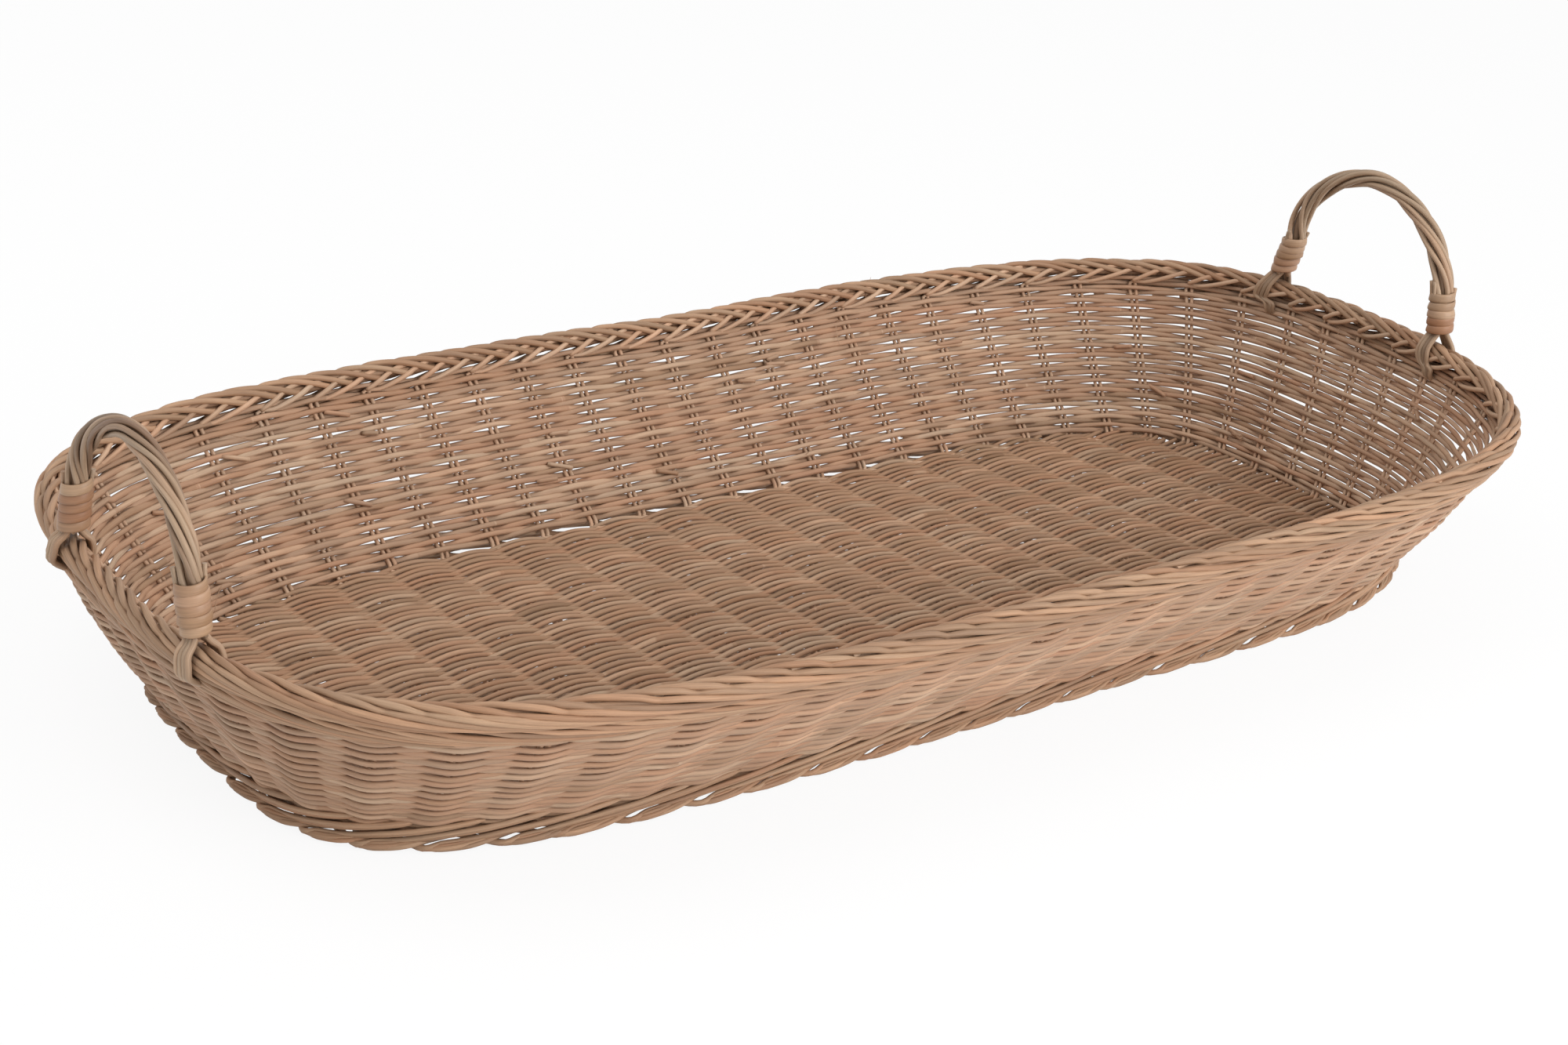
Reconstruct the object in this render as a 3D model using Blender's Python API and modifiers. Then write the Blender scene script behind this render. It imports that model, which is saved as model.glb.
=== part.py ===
"""A hand-woven rattan tray: an oblong basket with flared walls and two arched end handles.

All sizes are in metres. X runs along the tray, Y across it and Z up. The origin is under
the middle of the tray, on the surface that it stands on.
"""
import bpy
import bmesh
import numpy as np
from math import pi
from mathutils import Matrix, Vector

# Centre line of the border, seen from above: |x/a|^p + |y/b|^q = 1
RIM_HALF_LENGTH = 0.400
RIM_HALF_WIDTH = 0.199
RIM_POWERS = (4.4, 2.95)
RIM_HEIGHT = 0.0873
RIM_END_RISE = 0.0094
RIM_RIGHT_RISE = 0.0060

# Outer edge of the foot, seen from above: the weave has pulled it a little off the rim's centre
FOOT_HALF_LENGTH = 0.363
FOOT_HALF_WIDTH = 0.1485
FOOT_POWERS = (4.5, 3.83)
FOOT_SHIFT_X = 0.0016
FOOT_SHIFT_Y = -0.0027

# Fit between neighbours
CLEARANCE = 0.0003

# Stakes: pairs of thin rods, side by side. The sticks cross the floor and turn up both walls
STICK_COUNT = 20
STICK_END_MARGIN = 0.0197
END_STAKE_COUNT = 11
STAKE_WIDTH = 0.0052
STAKE_THICKNESS = 0.0024
END_STAKE_TAIL = 0.0015
SHORT_STICK_HALF_LENGTH = 0.036
BEND_RUN = 0.0048
BEND_RISE = 0.0030
STEP_RUN = 0.0080

# Where the stakes stand, as stake numbers and shares of half the perimeter. Stake 0 is the first
# stick on the +Y side. Each stick steps half a pitch anticlockwise under the floor's edge
FOOT_STAKE_NUMBERS = (0, 19.5, 25, 31)
FOOT_STAKE_SHARES = (-0.3472, 0.3319, 0.5016, 0.6528)
RIM_STAKE_NUMBERS = (3, 17, 24, 29, 34)
RIM_STAKE_SHARES = (-0.2288, 0.2050, 0.4509, 0.5844, 0.7712)

# Weave of the wall and of the floor, on both sides of the stakes
WALL_WEAVE_THICKNESS = 0.0024
FLOOR_WEAVE_THICKNESS = 0.0025
WALL_BULGE = 0.0035
FLUTE_MARGIN = 0.0008
FLUTE_FADE = 0.0060
FLOOR_CORNER_SHARES = (0.12, 0.3, 0.45, 0.58, 0.68, 0.76, 0.83, 0.885, 0.93, 0.962, 0.985)
PLAIN_EDGE_SHARE = 0.75
FLUTE_EDGE_SHARE = 0.5

# Foot wale: the rope round the bottom edge, thick at each stake and slim between
WALE_RADIUS = 0.0042
WALE_SLIM_RADIUS = 0.0035

# Rolled border: a rope of strands that lies on top of the wall
BORDER_RADIUS = 0.0070
BORDER_GROOVE = 0.0011
BORDER_LOBES = 5
BORDER_RINGS = 120

# Handles: bundles of rods, each with two feet that loop round the border
HANDLE_RADIUS = 0.0050
HANDLE_GROOVE = 0.0007
HANDLE_LOBES = 6
HANDLE_LAY = 0.080
HANDLE_FOOT_SPACING = 0.1268
HANDLE_ARCH_POWER = 1.75
LEG_RADIUS = 0.0062
LEG_TILT = 0.0058
LEFT_HANDLE_RISE = 0.0777
LEFT_HANDLE_LEAN = 0.0009
LEFT_HANDLE_SHIFT = -0.0142
LEFT_BINDING_START = 0.0094
RIGHT_HANDLE_RISE = 0.0902
RIGHT_HANDLE_LEAN = 0.0080
RIGHT_HANDLE_SHIFT = -0.0016
RIGHT_BINDING_START = 0.0120
LOOP_WIDTH = 0.0100
LOOP_THICKNESS = 0.0026

# Bindings: flat cane wound round each leg above the border
BINDING_TURNS = 5
BINDING_PITCH = 0.0045
BINDING_STRIP_WIDTH = 0.0040
BINDING_STRIP_THICKNESS = 0.0012
BINDING_CLEARANCE = 0.0006
LEAST_WINDING_GAP = 0.0004

# Points on curved shapes
OUTLINE_SAMPLES = 4000
ARCH_POINTS = 25
LEG_POINTS = 5
LOOP_POINTS = 20
CUTTER_SIDES = 24
POINTS_PER_TURN = 24

# Sizes that follow from those above
STICK_HEIGHT = FLOOR_WEAVE_THICKNESS + CLEARANCE + STAKE_THICKNESS / 2
FLOOR_TOP_START = STICK_HEIGHT + STAKE_THICKNESS / 2 + CLEARANCE
WALL_FOOT_INSET = 2 * WALE_RADIUS + CLEARANCE + STAKE_THICKNESS / 2
WALL_FOOT_HEIGHT = STICK_HEIGHT + BEND_RISE
FLUTE_PEAK = STAKE_THICKNESS / 2 + CLEARANCE + FLUTE_MARGIN
FLOOR_FLUTE_DEPTH = STAKE_THICKNESS / 2 + CLEARANCE / 2
LOOP_INNER_RADIUS = BORDER_RADIUS + CLEARANCE
LOOP_OUTER_RADIUS = LOOP_INNER_RADIUS + LOOP_THICKNESS
STICK_PITCH = 2 * (FOOT_HALF_LENGTH - STICK_END_MARGIN) / (STICK_COUNT + 1)

# Rattan colours
CORE_TAN = (0.44, 0.27, 0.15)
CORE_WARM = (0.48, 0.28, 0.15)
CORE_GREY = (0.38, 0.27, 0.16)
CANE_CREAM = (0.56, 0.38, 0.22)


def clear_scene():
    for item in list(bpy.data.objects):
        bpy.data.objects.remove(item, do_unlink=True)


def make_collection(name):
    collection = bpy.data.collections.new(name)
    bpy.context.scene.collection.children.link(collection)
    return collection


def make_material(name, color, roughness):
    material = bpy.data.materials.new(name)
    material.use_nodes = True
    shader = material.node_tree.nodes["Principled BSDF"]
    shader.inputs["Base Color"].default_value = (*color, 1.0)
    shader.inputs["Roughness"].default_value = roughness
    shader.inputs["Metallic"].default_value = 0.0
    return material


def place(name, data, collection, material=None):
    item = bpy.data.objects.new(name, data)
    collection.objects.link(item)
    if material is not None:
        item.data.materials.append(material)
    return item


def hide_guide(item):
    item.hide_render = True
    item.display_type = 'WIRE'
    return item


# Outlines

class Outline:
    """A rounded oblong seen from above, read by the length along it.

    The length starts at the middle of the +Y side and grows towards +X.
    """

    def __init__(self, half_length, half_width, powers, middle=(0.0, 0.0)):
        angle = pi / 2 - np.linspace(0, 2 * pi, OUTLINE_SAMPLES + 1)
        across, along = np.sin(angle), np.cos(angle)
        x = half_length * np.sign(along) * np.abs(along) ** (2 / powers[0])
        y = half_width * np.sign(across) * np.abs(across) ** (2 / powers[1])
        steps = np.hypot(np.diff(x), np.diff(y))
        self.lengths = np.concatenate(([0.0], np.cumsum(steps)))
        self.perimeter = self.lengths[-1]
        self.x, self.y = x + middle[0], y + middle[1]
        self.middle_x = middle[0]

    def point(self, length, offset=0.0):
        """Point at a length along the outline, moved outwards by offset."""
        reach = self.perimeter / OUTLINE_SAMPLES * 4
        position = self.on_line(length)
        tangent = self.on_line(length + reach) - self.on_line(length - reach)
        tangent /= np.linalg.norm(tangent, axis=-1, keepdims=True)
        normal = np.stack([-tangent[..., 1], tangent[..., 0]], axis=-1)
        return position + normal * offset

    def on_line(self, length):
        wrapped = np.mod(length, self.perimeter)
        return np.stack([np.interp(wrapped, self.lengths, self.x),
                         np.interp(wrapped, self.lengths, self.y)], axis=-1)

    def length_at_x(self, x, offset):
        """Length along the +Y side at which the offset outline reaches x."""
        lengths = np.linspace(0, self.perimeter / 4, OUTLINE_SAMPLES)
        away = self.point(lengths, offset)[:, 0] - self.middle_x
        return np.sign(x - self.middle_x) * np.interp(abs(x - self.middle_x), away, lengths)


def rim_height_at(x):
    share = x / RIM_HALF_LENGTH
    return RIM_HEIGHT + RIM_END_RISE * share ** 2 + RIM_RIGHT_RISE * share


def rim_points(rim, lengths):
    flat = rim.point(lengths)
    return np.concatenate([flat, rim_height_at(flat[..., :1])], axis=-1)


def stick_places():
    """X of each stick that turns up both long walls, where it crosses the floor."""
    return FOOT_SHIFT_X + (np.arange(STICK_COUNT) - (STICK_COUNT - 1) / 2) * STICK_PITCH


def stake_stations(foot, rim):
    """Length along the foot and along the rim of every stake, in order round the tray.

    The round starts with the sticks on the +Y side, from -X to +X, then the right end,
    the -Y side and the left end. Each stake is followed by the place midway to the next.
    """
    half_count = STICK_COUNT + END_STAKE_COUNT
    numbers = np.arange(4 * half_count) / 2
    stations = []
    for knots, shares, outline in ((FOOT_STAKE_NUMBERS, FOOT_STAKE_SHARES, foot),
                                   (RIM_STAKE_NUMBERS, RIM_STAKE_SHARES, rim)):
        rounds = np.arange(-2, 3)
        all_knots = np.unique((np.array(knots)[None] + rounds[:, None] * half_count).ravel())
        all_shares = np.unique((np.array(shares)[None] + rounds[:, None]).ravel().round(6))
        stations.append(np.interp(numbers, all_knots, all_shares) * outline.perimeter / 2)
    return stations


# Wall surface

class Wall:
    """Middle surface of the wall, on which the stakes lie: a curved sheet from foot to rim."""

    def __init__(self, foot, rim):
        self.foot, self.rim = foot, rim
        self.foot_lengths, self.rim_lengths = stake_stations(foot, rim)
        flat = foot.point(self.foot_lengths, -WALL_FOOT_INSET)
        height = np.full((len(flat), 1), WALL_FOOT_HEIGHT)
        self.low = np.concatenate([flat, height], axis=1)
        self.high = rim_points(rim, self.rim_lengths)
        self.slant = np.linalg.norm(self.high - self.low, axis=1)
        self.up = unit(self.high - self.low)

    def sheet(self, share):
        """All stations at a share of the way up, with the directions along and out of the wall."""
        share = np.broadcast_to(share, self.slant.shape)[:, None]
        straight = self.low * (1 - share) + self.high * share
        along = unit(np.roll(straight, -1, axis=0) - np.roll(straight, 1, axis=0))
        out = unit(np.cross(self.up, along))
        return straight + out * 4 * share * (1 - share) * WALL_BULGE, along, out

    def share_below_rim(self, distance):
        return 1 - distance / self.slant


def unit(vectors):
    return vectors / np.linalg.norm(vectors, axis=-1, keepdims=True)


# Meshes

def mesh_from_rings(name, rings, closed):
    """One body lofted through rings of points, capped at its ends unless it is closed."""
    count, sides = rings.shape[:2]
    mesh = bmesh.new()
    rows = [[mesh.verts.new(point) for point in ring] for ring in rings.tolist()]
    for row in range(count if closed else count - 1):
        this_ring, next_ring = rows[row], rows[(row + 1) % count]
        for side in range(sides):
            other = (side + 1) % sides
            mesh.faces.new((this_ring[side], this_ring[other], next_ring[other], next_ring[side]))
    if not closed:
        mesh.faces.new(rows[0][::-1])
        mesh.faces.new(rows[-1])
    bmesh.ops.recalc_face_normals(mesh, faces=mesh.faces)
    data = bpy.data.meshes.new(name)
    mesh.to_mesh(data)
    mesh.free()
    return data


def smooth(data, angle=0.7):
    data.shade_smooth()
    data.set_sharp_from_angle(angle=angle)


def curve_as_mesh(item, collection, material=None):
    """Replace a curve object by a welded mesh object of the same name."""
    bpy.context.view_layer.update()
    graph = bpy.context.evaluated_depsgraph_get()
    data = bpy.data.meshes.new_from_object(item.evaluated_get(graph))
    mesh = bmesh.new()
    mesh.from_mesh(data)
    bmesh.ops.remove_doubles(mesh, verts=mesh.verts, dist=CLEARANCE / 100)
    bmesh.ops.recalc_face_normals(mesh, faces=mesh.faces)
    mesh.to_mesh(data)
    mesh.free()
    name, matrix = item.name, item.matrix_world.copy()
    bpy.data.objects.remove(item, do_unlink=True)
    data.materials.clear()
    solid = place(name, data, collection, material)
    solid.matrix_world = matrix
    return solid


def poly_curve(name, points, cyclic=False, flat=False):
    data = bpy.data.curves.new(name, 'CURVE')
    data.dimensions = '2D' if flat else '3D'
    spline = data.splines.new('POLY')
    spline.points.add(len(points) - 1)
    for target, point in zip(spline.points, points):
        target.co = (point[0], point[1], point[2] if len(point) > 2 else 0.0, 1.0)
    spline.use_cyclic_u = cyclic
    return data


def lobed_ring(radius, groove, lobes):
    """Closed ring of points in a plane, high on each lobe and low between."""
    count = 2 * lobes
    angle = np.arange(count) * 2 * pi / count
    radii = np.where(np.arange(count) % 2 == 0, radius, radius - groove)
    return np.stack([radii * np.cos(angle), radii * np.sin(angle)], axis=1)


# Floor

def half_depths(foot, inset, places):
    """Half the floor's width at each X, inside an outline moved inwards; zero beyond its end."""
    lengths = np.linspace(0, foot.perimeter / 4, OUTLINE_SAMPLES)
    edge = foot.point(lengths, -inset) - [FOOT_SHIFT_X, FOOT_SHIFT_Y]
    return np.interp(np.abs(places - FOOT_SHIFT_X), edge[:, 0], edge[:, 1], right=0.0)


def floor_columns(foot, inset):
    """X of the rows of points across the floor: beside every stick, midway between, and round the ends."""
    sticks = FOOT_SHIFT_X + (np.arange(STICK_COUNT + 2) - (STICK_COUNT + 1) / 2) * STICK_PITCH
    beside = STAKE_WIDTH / 2 + FLUTE_MARGIN
    ribs = np.concatenate([sticks - beside, sticks + beside])
    middles = (sticks[1:] + sticks[:-1]) / 2
    lengths = np.linspace(0, foot.perimeter / 4, OUTLINE_SAMPLES)
    edge = foot.point(lengths, -inset) - [FOOT_SHIFT_X, FOOT_SHIFT_Y]
    corner = np.interp(FLOOR_CORNER_SHARES, edge[::-1, 1] / edge[0, 1], edge[::-1, 0])
    inside = corner[0] - FLUTE_MARGIN
    corner = np.concatenate([FOOT_SHIFT_X - corner, FOOT_SHIFT_X + corner])
    known = np.concatenate([ribs, middles])
    free = [x for x in corner if np.min(np.abs(known - x)) > FLUTE_MARGIN]
    places = np.unique(np.concatenate([known[np.abs(known - FOOT_SHIFT_X) < inside], free]).round(7))
    dips = np.array([np.min(np.abs(middles - x)) < CLEARANCE for x in places])
    return places, dips


def add_floor(foot, collection, material):
    """Two woven layers. Between the sticks each layer dips towards the other."""
    layers = (("floor_weave_lower", 2 * WALE_RADIUS + CLEARANCE, 0.0, 1),
              ("floor_weave_upper", WALL_FOOT_INSET + BEND_RUN + CLEARANCE, FLOOR_TOP_START, -1))
    plain = WALL_FOOT_INSET + BEND_RUN + STEP_RUN + CLEARANCE
    for name, inset, bottom, side in layers:
        places, dips = floor_columns(foot, inset)
        edge = half_depths(foot, inset, places)
        step = np.maximum(half_depths(foot, plain, places), edge * PLAIN_EDGE_SHARE)
        deep = half_depths(foot, plain + FLUTE_FADE, places)
        dips = dips & (deep > FLUTE_FADE)
        deep = np.maximum(deep, edge * FLUTE_EDGE_SHARE)
        y = FOOT_SHIFT_Y + np.stack([-edge, -step, -deep, deep, step, edge], axis=1)
        depth = np.zeros_like(y)
        depth[:, 2:4] = np.where(dips, FLOOR_FLUTE_DEPTH, 0.0)[:, None] * side
        low = bottom + (depth if side < 0 else np.zeros_like(y))
        high = bottom + FLOOR_WEAVE_THICKNESS + depth
        x = np.broadcast_to(places[:, None], y.shape)
        lower = np.stack([x, y, low], axis=-1)
        upper = np.stack([x, y, high], axis=-1)[:, ::-1]
        data = mesh_from_rings(name, np.concatenate([lower, upper], axis=1), closed=False)
        place(name, data, collection, material)


# Stakes

def bar_ring(position, along, normal):
    """Four corners of the flat section of a pair of rods."""
    half_width = along * STAKE_WIDTH / 2
    half_thick = normal * STAKE_THICKNESS / 2
    return [position - half_width - half_thick, position + half_width - half_thick,
            position + half_width + half_thick, position - half_width + half_thick]


def floor_ring(foot, x, far):
    """Section of a stick where it leaves the floor, before it steps along the floor's edge."""
    inset = -(WALL_FOOT_INSET + BEND_RUN + STEP_RUN)
    length = foot.length_at_x(x, inset)
    flat = foot.point(length if far else foot.perimeter / 2 - length, inset)
    along = np.array([1.0 if far else -1.0, 0.0, 0.0])
    return bar_ring(np.array([flat[0], flat[1], STICK_HEIGHT]), along, np.array([0.0, 0.0, -1.0]))


def stake_wall_rings(wall, station, top):
    """Sections from the bend at the floor to the top of the wall."""
    _, along, out = (values[station] for values in wall.sheet(0.0))
    flat_along = unit(along * np.array([1.0, 1.0, 0.0]))
    down = np.array([0.0, 0.0, -1.0])
    rings = []
    bend_places = ((WALL_FOOT_INSET + BEND_RUN, STICK_HEIGHT, 0.0),
                   (WALL_FOOT_INSET + BEND_RUN * 0.4, STICK_HEIGHT + BEND_RISE * 0.3, 0.5))
    for inset, height, turn_share in bend_places:
        flat = wall.foot.point(wall.foot_lengths[station], -inset)
        normal = unit(down * (1 - turn_share) + out * turn_share)
        rings.append(bar_ring(np.array([flat[0], flat[1], height]), flat_along, normal))
    for share in (0.0, 0.5 * top, top):
        rings.append(bar_ring(*(values[station] for values in wall.sheet(share))))
    return rings


def stake_tops(wall, feet_lengths):
    """Share of the wall's height that each stake reaches, less where a handle's loop passes."""
    tops = wall.share_below_rim(LOOP_INNER_RADIUS)
    low_tops = wall.share_below_rim(LOOP_OUTER_RADIUS + CLEARANCE)
    half_way = wall.rim.perimeter / 2
    for length in feet_lengths:
        away = np.mod(wall.rim_lengths - length + half_way, wall.rim.perimeter) - half_way
        near = np.abs(away) < (LOOP_WIDTH + STAKE_WIDTH) / 2 + 2 * CLEARANCE
        tops = np.where(near, low_tops, tops)
    return tops


def add_sticks(wall, tops, collection, material):
    """Sticks that cross the floor between its two layers and turn up the long walls."""
    for index in range(STICK_COUNT):
        far = 2 * index
        near = 2 * (2 * STICK_COUNT + END_STAKE_COUNT - 1 - index)
        x = stick_places()[index]
        far_rings = [floor_ring(wall.foot, x, True)] + stake_wall_rings(wall, far, tops[far])
        near_rings = [floor_ring(wall.foot, x, False)] + stake_wall_rings(wall, near, tops[near])
        mirrored = [[ring[1], ring[0], ring[3], ring[2]] for ring in near_rings]
        rings = np.array(far_rings[::-1] + mirrored)
        data = mesh_from_rings("stick", rings, closed=False)
        place(f"stick_{index + 1:02d}", data, collection, material)


def add_short_sticks(collection, material):
    """The last stick at each end, which stays in the floor."""
    for side, name in ((-1, "short_stick_left"), (1, "short_stick_right")):
        across = Vector((STAKE_WIDTH, 2 * SHORT_STICK_HALF_LENGTH, STAKE_THICKNESS))
        mesh = bmesh.new()
        bmesh.ops.create_cube(mesh, size=1.0, matrix=Matrix.Diagonal(across.to_4d()))
        data = bpy.data.meshes.new(name)
        mesh.to_mesh(data)
        mesh.free()
        stick = place(name, data, collection, material)
        stick.location = (FOOT_SHIFT_X + side * (STICK_COUNT + 1) / 2 * STICK_PITCH, FOOT_SHIFT_Y, STICK_HEIGHT)


def add_end_stakes(wall, tops, collection, material):
    for side, first in (("right", STICK_COUNT), ("left", 2 * STICK_COUNT + END_STAKE_COUNT)):
        for index in range(END_STAKE_COUNT):
            station = 2 * (first + index)
            rings = stake_wall_rings(wall, station, tops[station])
            bend = wall.foot.point(wall.foot_lengths[station], -(WALL_FOOT_INSET + BEND_RUN))
            start = wall.foot.point(wall.foot_lengths[station],
                                    -(WALL_FOOT_INSET + BEND_RUN + END_STAKE_TAIL))
            step = np.append(start - bend, 0.0)
            tail = [corner + step for corner in rings[0]]
            data = mesh_from_rings("end_stake", np.array([tail] + rings), closed=False)
            place(f"end_stake_{side}_{index + 1:02d}", data, collection, material)


# Woven wall: one skin outside the stakes and one inside

def add_wall_skins(wall, cutters, collection, material):
    stations = np.arange(len(wall.slant))
    over_stake = stations % 2 == 0
    depth = np.where(over_stake, FLUTE_PEAK, CLEARANCE / 2)
    top = wall.share_below_rim(LOOP_INNER_RADIUS)
    starts = {"wall_weave_outer": WALE_RADIUS + WALL_WEAVE_THICKNESS / 2 + CLEARANCE,
              "wall_weave_inner": CLEARANCE}
    for name, side in (("wall_weave_outer", 1), ("wall_weave_inner", -1)):
        low = starts[name] / wall.slant
        rows = []
        for share in (0.0, 0.5, 1.0):
            position, _, out = wall.sheet(low + (top - low) * share)
            rows.append(position + out * side * depth[:, None])
        mesh = bmesh.new()
        grid = [[mesh.verts.new(point) for point in row] for row in np.array(rows).tolist()]
        for lower, upper in zip(grid[:-1], grid[1:]):
            for index in range(len(lower)):
                other = (index + 1) % len(lower)
                corners = [lower[index], lower[other], upper[other], upper[index]]
                mesh.faces.new(corners[::-1] if side > 0 else corners)
        data = bpy.data.meshes.new(name)
        mesh.to_mesh(data)
        mesh.free()
        skin = place(name, data, collection, material)
        shell = skin.modifiers.new("thickness", 'SOLIDIFY')
        shell.thickness = WALL_WEAVE_THICKNESS
        shell.offset = 1.0
        shell.use_even_offset = True
        notch = skin.modifiers.new("handle_notches", 'BOOLEAN')
        notch.operand_type = 'COLLECTION'
        notch.collection = cutters
        notch.operation = 'DIFFERENCE'
        notch.solver = 'EXACT'


# Foot wale and border

def add_foot_wale(foot, wall, collection, material):
    flat = foot.point(wall.foot_lengths, -WALE_RADIUS)
    height = np.full((len(flat), 1), WALE_RADIUS)
    data = poly_curve("foot_wale", np.concatenate([flat, height], axis=1), cyclic=True)
    data.bevel_depth = WALE_RADIUS
    data.bevel_resolution = 1
    for index, point in enumerate(data.splines[0].points):
        point.radius = 1.0 if index % 2 == 0 else WALE_SLIM_RADIUS / WALE_RADIUS
    place("foot_wale", data, collection, material)


def add_border(rim, wall, collection, material):
    """A rope laid on the rim, with one strand crossing it over each stake."""
    lengths = np.arange(BORDER_RINGS) / BORDER_RINGS * rim.perimeter
    centres = rim_points(rim, lengths)
    along = unit(np.roll(centres, -1, axis=0) - np.roll(centres, 1, axis=0))
    up = np.array([0.0, 0.0, 1.0])
    outward = unit(np.cross(up, along))
    upward = np.cross(along, outward)
    crossings = len(wall.slant) // 2
    twist = np.arange(BORDER_RINGS) / BORDER_RINGS * crossings * 2 * pi / BORDER_LOBES
    section = lobed_ring(BORDER_RADIUS, BORDER_GROOVE, BORDER_LOBES)
    cosine, sine = np.cos(twist)[:, None], np.sin(twist)[:, None]
    across = section[:, 0] * cosine - section[:, 1] * sine
    high = section[:, 0] * sine + section[:, 1] * cosine
    rings = centres[:, None] + across[..., None] * outward[:, None] + high[..., None] * upward[:, None]
    data = mesh_from_rings("rim_border", rings, closed=True)
    smooth(data, 1.2)
    place("rim_border", data, collection, material)


# Handles

def foot_frames(rim, wall_side, shift):
    """Rim point, rim direction and length along the rim at each foot of one end's handle."""
    lengths = np.linspace(0, rim.perimeter / 2, OUTLINE_SAMPLES)
    y = rim.on_line(lengths)[:, 1]
    frames = []
    for foot_y in (shift + HANDLE_FOOT_SPACING / 2, shift - HANDLE_FOOT_SPACING / 2):
        place_along = np.interp(-foot_y, -y, lengths)
        if wall_side < 0:
            place_along = rim.perimeter - place_along
        centre = rim_points(rim, place_along)
        step = rim.perimeter / OUTLINE_SAMPLES * 4
        along = unit(rim_points(rim, place_along + step) - rim_points(rim, place_along - step))
        frames.append((centre, along, place_along))
    return frames


def handle_points(frames, rise, lean, binding_top):
    """Points from one foot, up its tilted leg, over the arch and down to the other foot."""
    (first, _, _), (second, _, _) = frames
    side = np.sign(first[0])
    foot_x = (first[0] + second[0]) / 2
    base = (first[2] + second[2]) / 2
    middle_y = (first[1] + second[1]) / 2
    leg_start = base + LOOP_INNER_RADIUS + LOOP_THICKNESS / 2
    leg_top = base + binding_top
    half = HANDLE_FOOT_SPACING / 2
    arch_height = base + rise - leg_top
    angle = np.linspace(0, pi, ARCH_POINTS)
    power = 2 / HANDLE_ARCH_POWER
    y = (half - LEG_TILT) * np.sign(np.cos(angle)) * np.abs(np.cos(angle)) ** power
    climb = np.abs(np.sin(angle)) ** power
    arch = np.stack([foot_x - side * lean * climb ** 2, middle_y + y, leg_top + arch_height * climb], axis=1)
    heights = np.linspace(leg_start, leg_top, LEG_POINTS, endpoint=False)
    shares = (heights - base) / binding_top
    legs = [np.stack([foot[0] + (foot_x - foot[0]) * shares, foot[1] - turn * LEG_TILT * shares, heights], axis=1)
            for foot, turn in ((first, 1), (second, -1))]
    return np.concatenate([legs[0], arch, legs[1][::-1]])


def add_handle(name, frames, rise, lean, binding_top, guides, collection, material):
    points = handle_points(frames, rise, lean, binding_top)
    profile_data = poly_curve(name + "_profile", lobed_ring(HANDLE_RADIUS, HANDLE_GROOVE, HANDLE_LOBES),
                              cyclic=True, flat=True)
    profile = hide_guide(place(name + "_profile", profile_data, guides))
    data = poly_curve(name, points)
    data.bevel_mode = 'OBJECT'
    data.bevel_object = profile
    data.use_fill_caps = True
    steps = np.linalg.norm(np.diff(points, axis=0), axis=1)
    run = np.concatenate(([0.0], np.cumsum(steps)))
    for index, point in enumerate(data.splines[0].points):
        point.tilt = run[index] / HANDLE_LAY * 2 * pi
        in_leg = min(index, len(points) - 1 - index) <= LEG_POINTS
        point.radius = LEG_RADIUS / HANDLE_RADIUS if in_leg else 1.0
    handle = curve_as_mesh(place(name, data, collection), collection, material)
    smooth(handle.data, 1.0)
    for number, (centre, along, _) in enumerate(frames):
        loop = add_loop(f"{name}_loop_{number + 1}", centre, along, guides)
        join = handle.modifiers.new(f"loop_{number + 1}", 'BOOLEAN')
        join.operation = 'UNION'
        join.object = loop
        join.solver = 'EXACT'
    return points


def add_loop(name, centre, along, guides):
    """Band of rods that passes outside, under and inside the border at a handle's foot."""
    angle = np.arange(LOOP_POINTS) * 2 * pi / LOOP_POINTS
    ring = np.stack([np.cos(angle), np.sin(angle)], axis=1)
    data = poly_curve(name, ring * LOOP_OUTER_RADIUS, cyclic=True, flat=True)
    hole = data.splines.new('POLY')
    hole.points.add(LOOP_POINTS - 1)
    corner_share = 1 / np.cos(pi / LOOP_POINTS)
    for target, point in zip(hole.points, ring * LOOP_INNER_RADIUS * corner_share):
        target.co = (point[0], point[1], 0.0, 1.0)
    hole.use_cyclic_u = True
    data.fill_mode = 'BOTH'
    data.extrude = LOOP_WIDTH / 2
    band = place(name, data, guides)
    band.matrix_world = frame_matrix(centre, along)
    return hide_guide(curve_as_mesh(band, guides))


def frame_matrix(centre, along):
    """Place a shape at the rim with its own Z along the rim and its own Y upwards."""
    third = Vector(along)
    first = Vector((0.0, 0.0, 1.0)).cross(third).normalized()
    second = third.cross(first)
    turn = Matrix((first, second, third)).transposed()
    return Matrix.Translation(Vector(centre)) @ turn.to_4x4()


def add_notch_cutters(frames, cutters):
    """Cylinders that clear the loops from the top edge of the wall."""
    for number, (centre, along, _) in enumerate(frames):
        mesh = bmesh.new()
        radius = (LOOP_OUTER_RADIUS + CLEARANCE) / np.cos(pi / CUTTER_SIDES)
        bmesh.ops.create_cone(mesh, cap_ends=True, segments=CUTTER_SIDES, radius1=radius,
                              radius2=radius, depth=LOOP_WIDTH + 2 * CLEARANCE)
        data = bpy.data.meshes.new(f"notch_{number + 1}")
        mesh.to_mesh(data)
        mesh.free()
        cutter = hide_guide(place(f"notch_{number + 1}", data, cutters))
        cutter.matrix_world = frame_matrix(centre, along)


# Bindings

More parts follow.
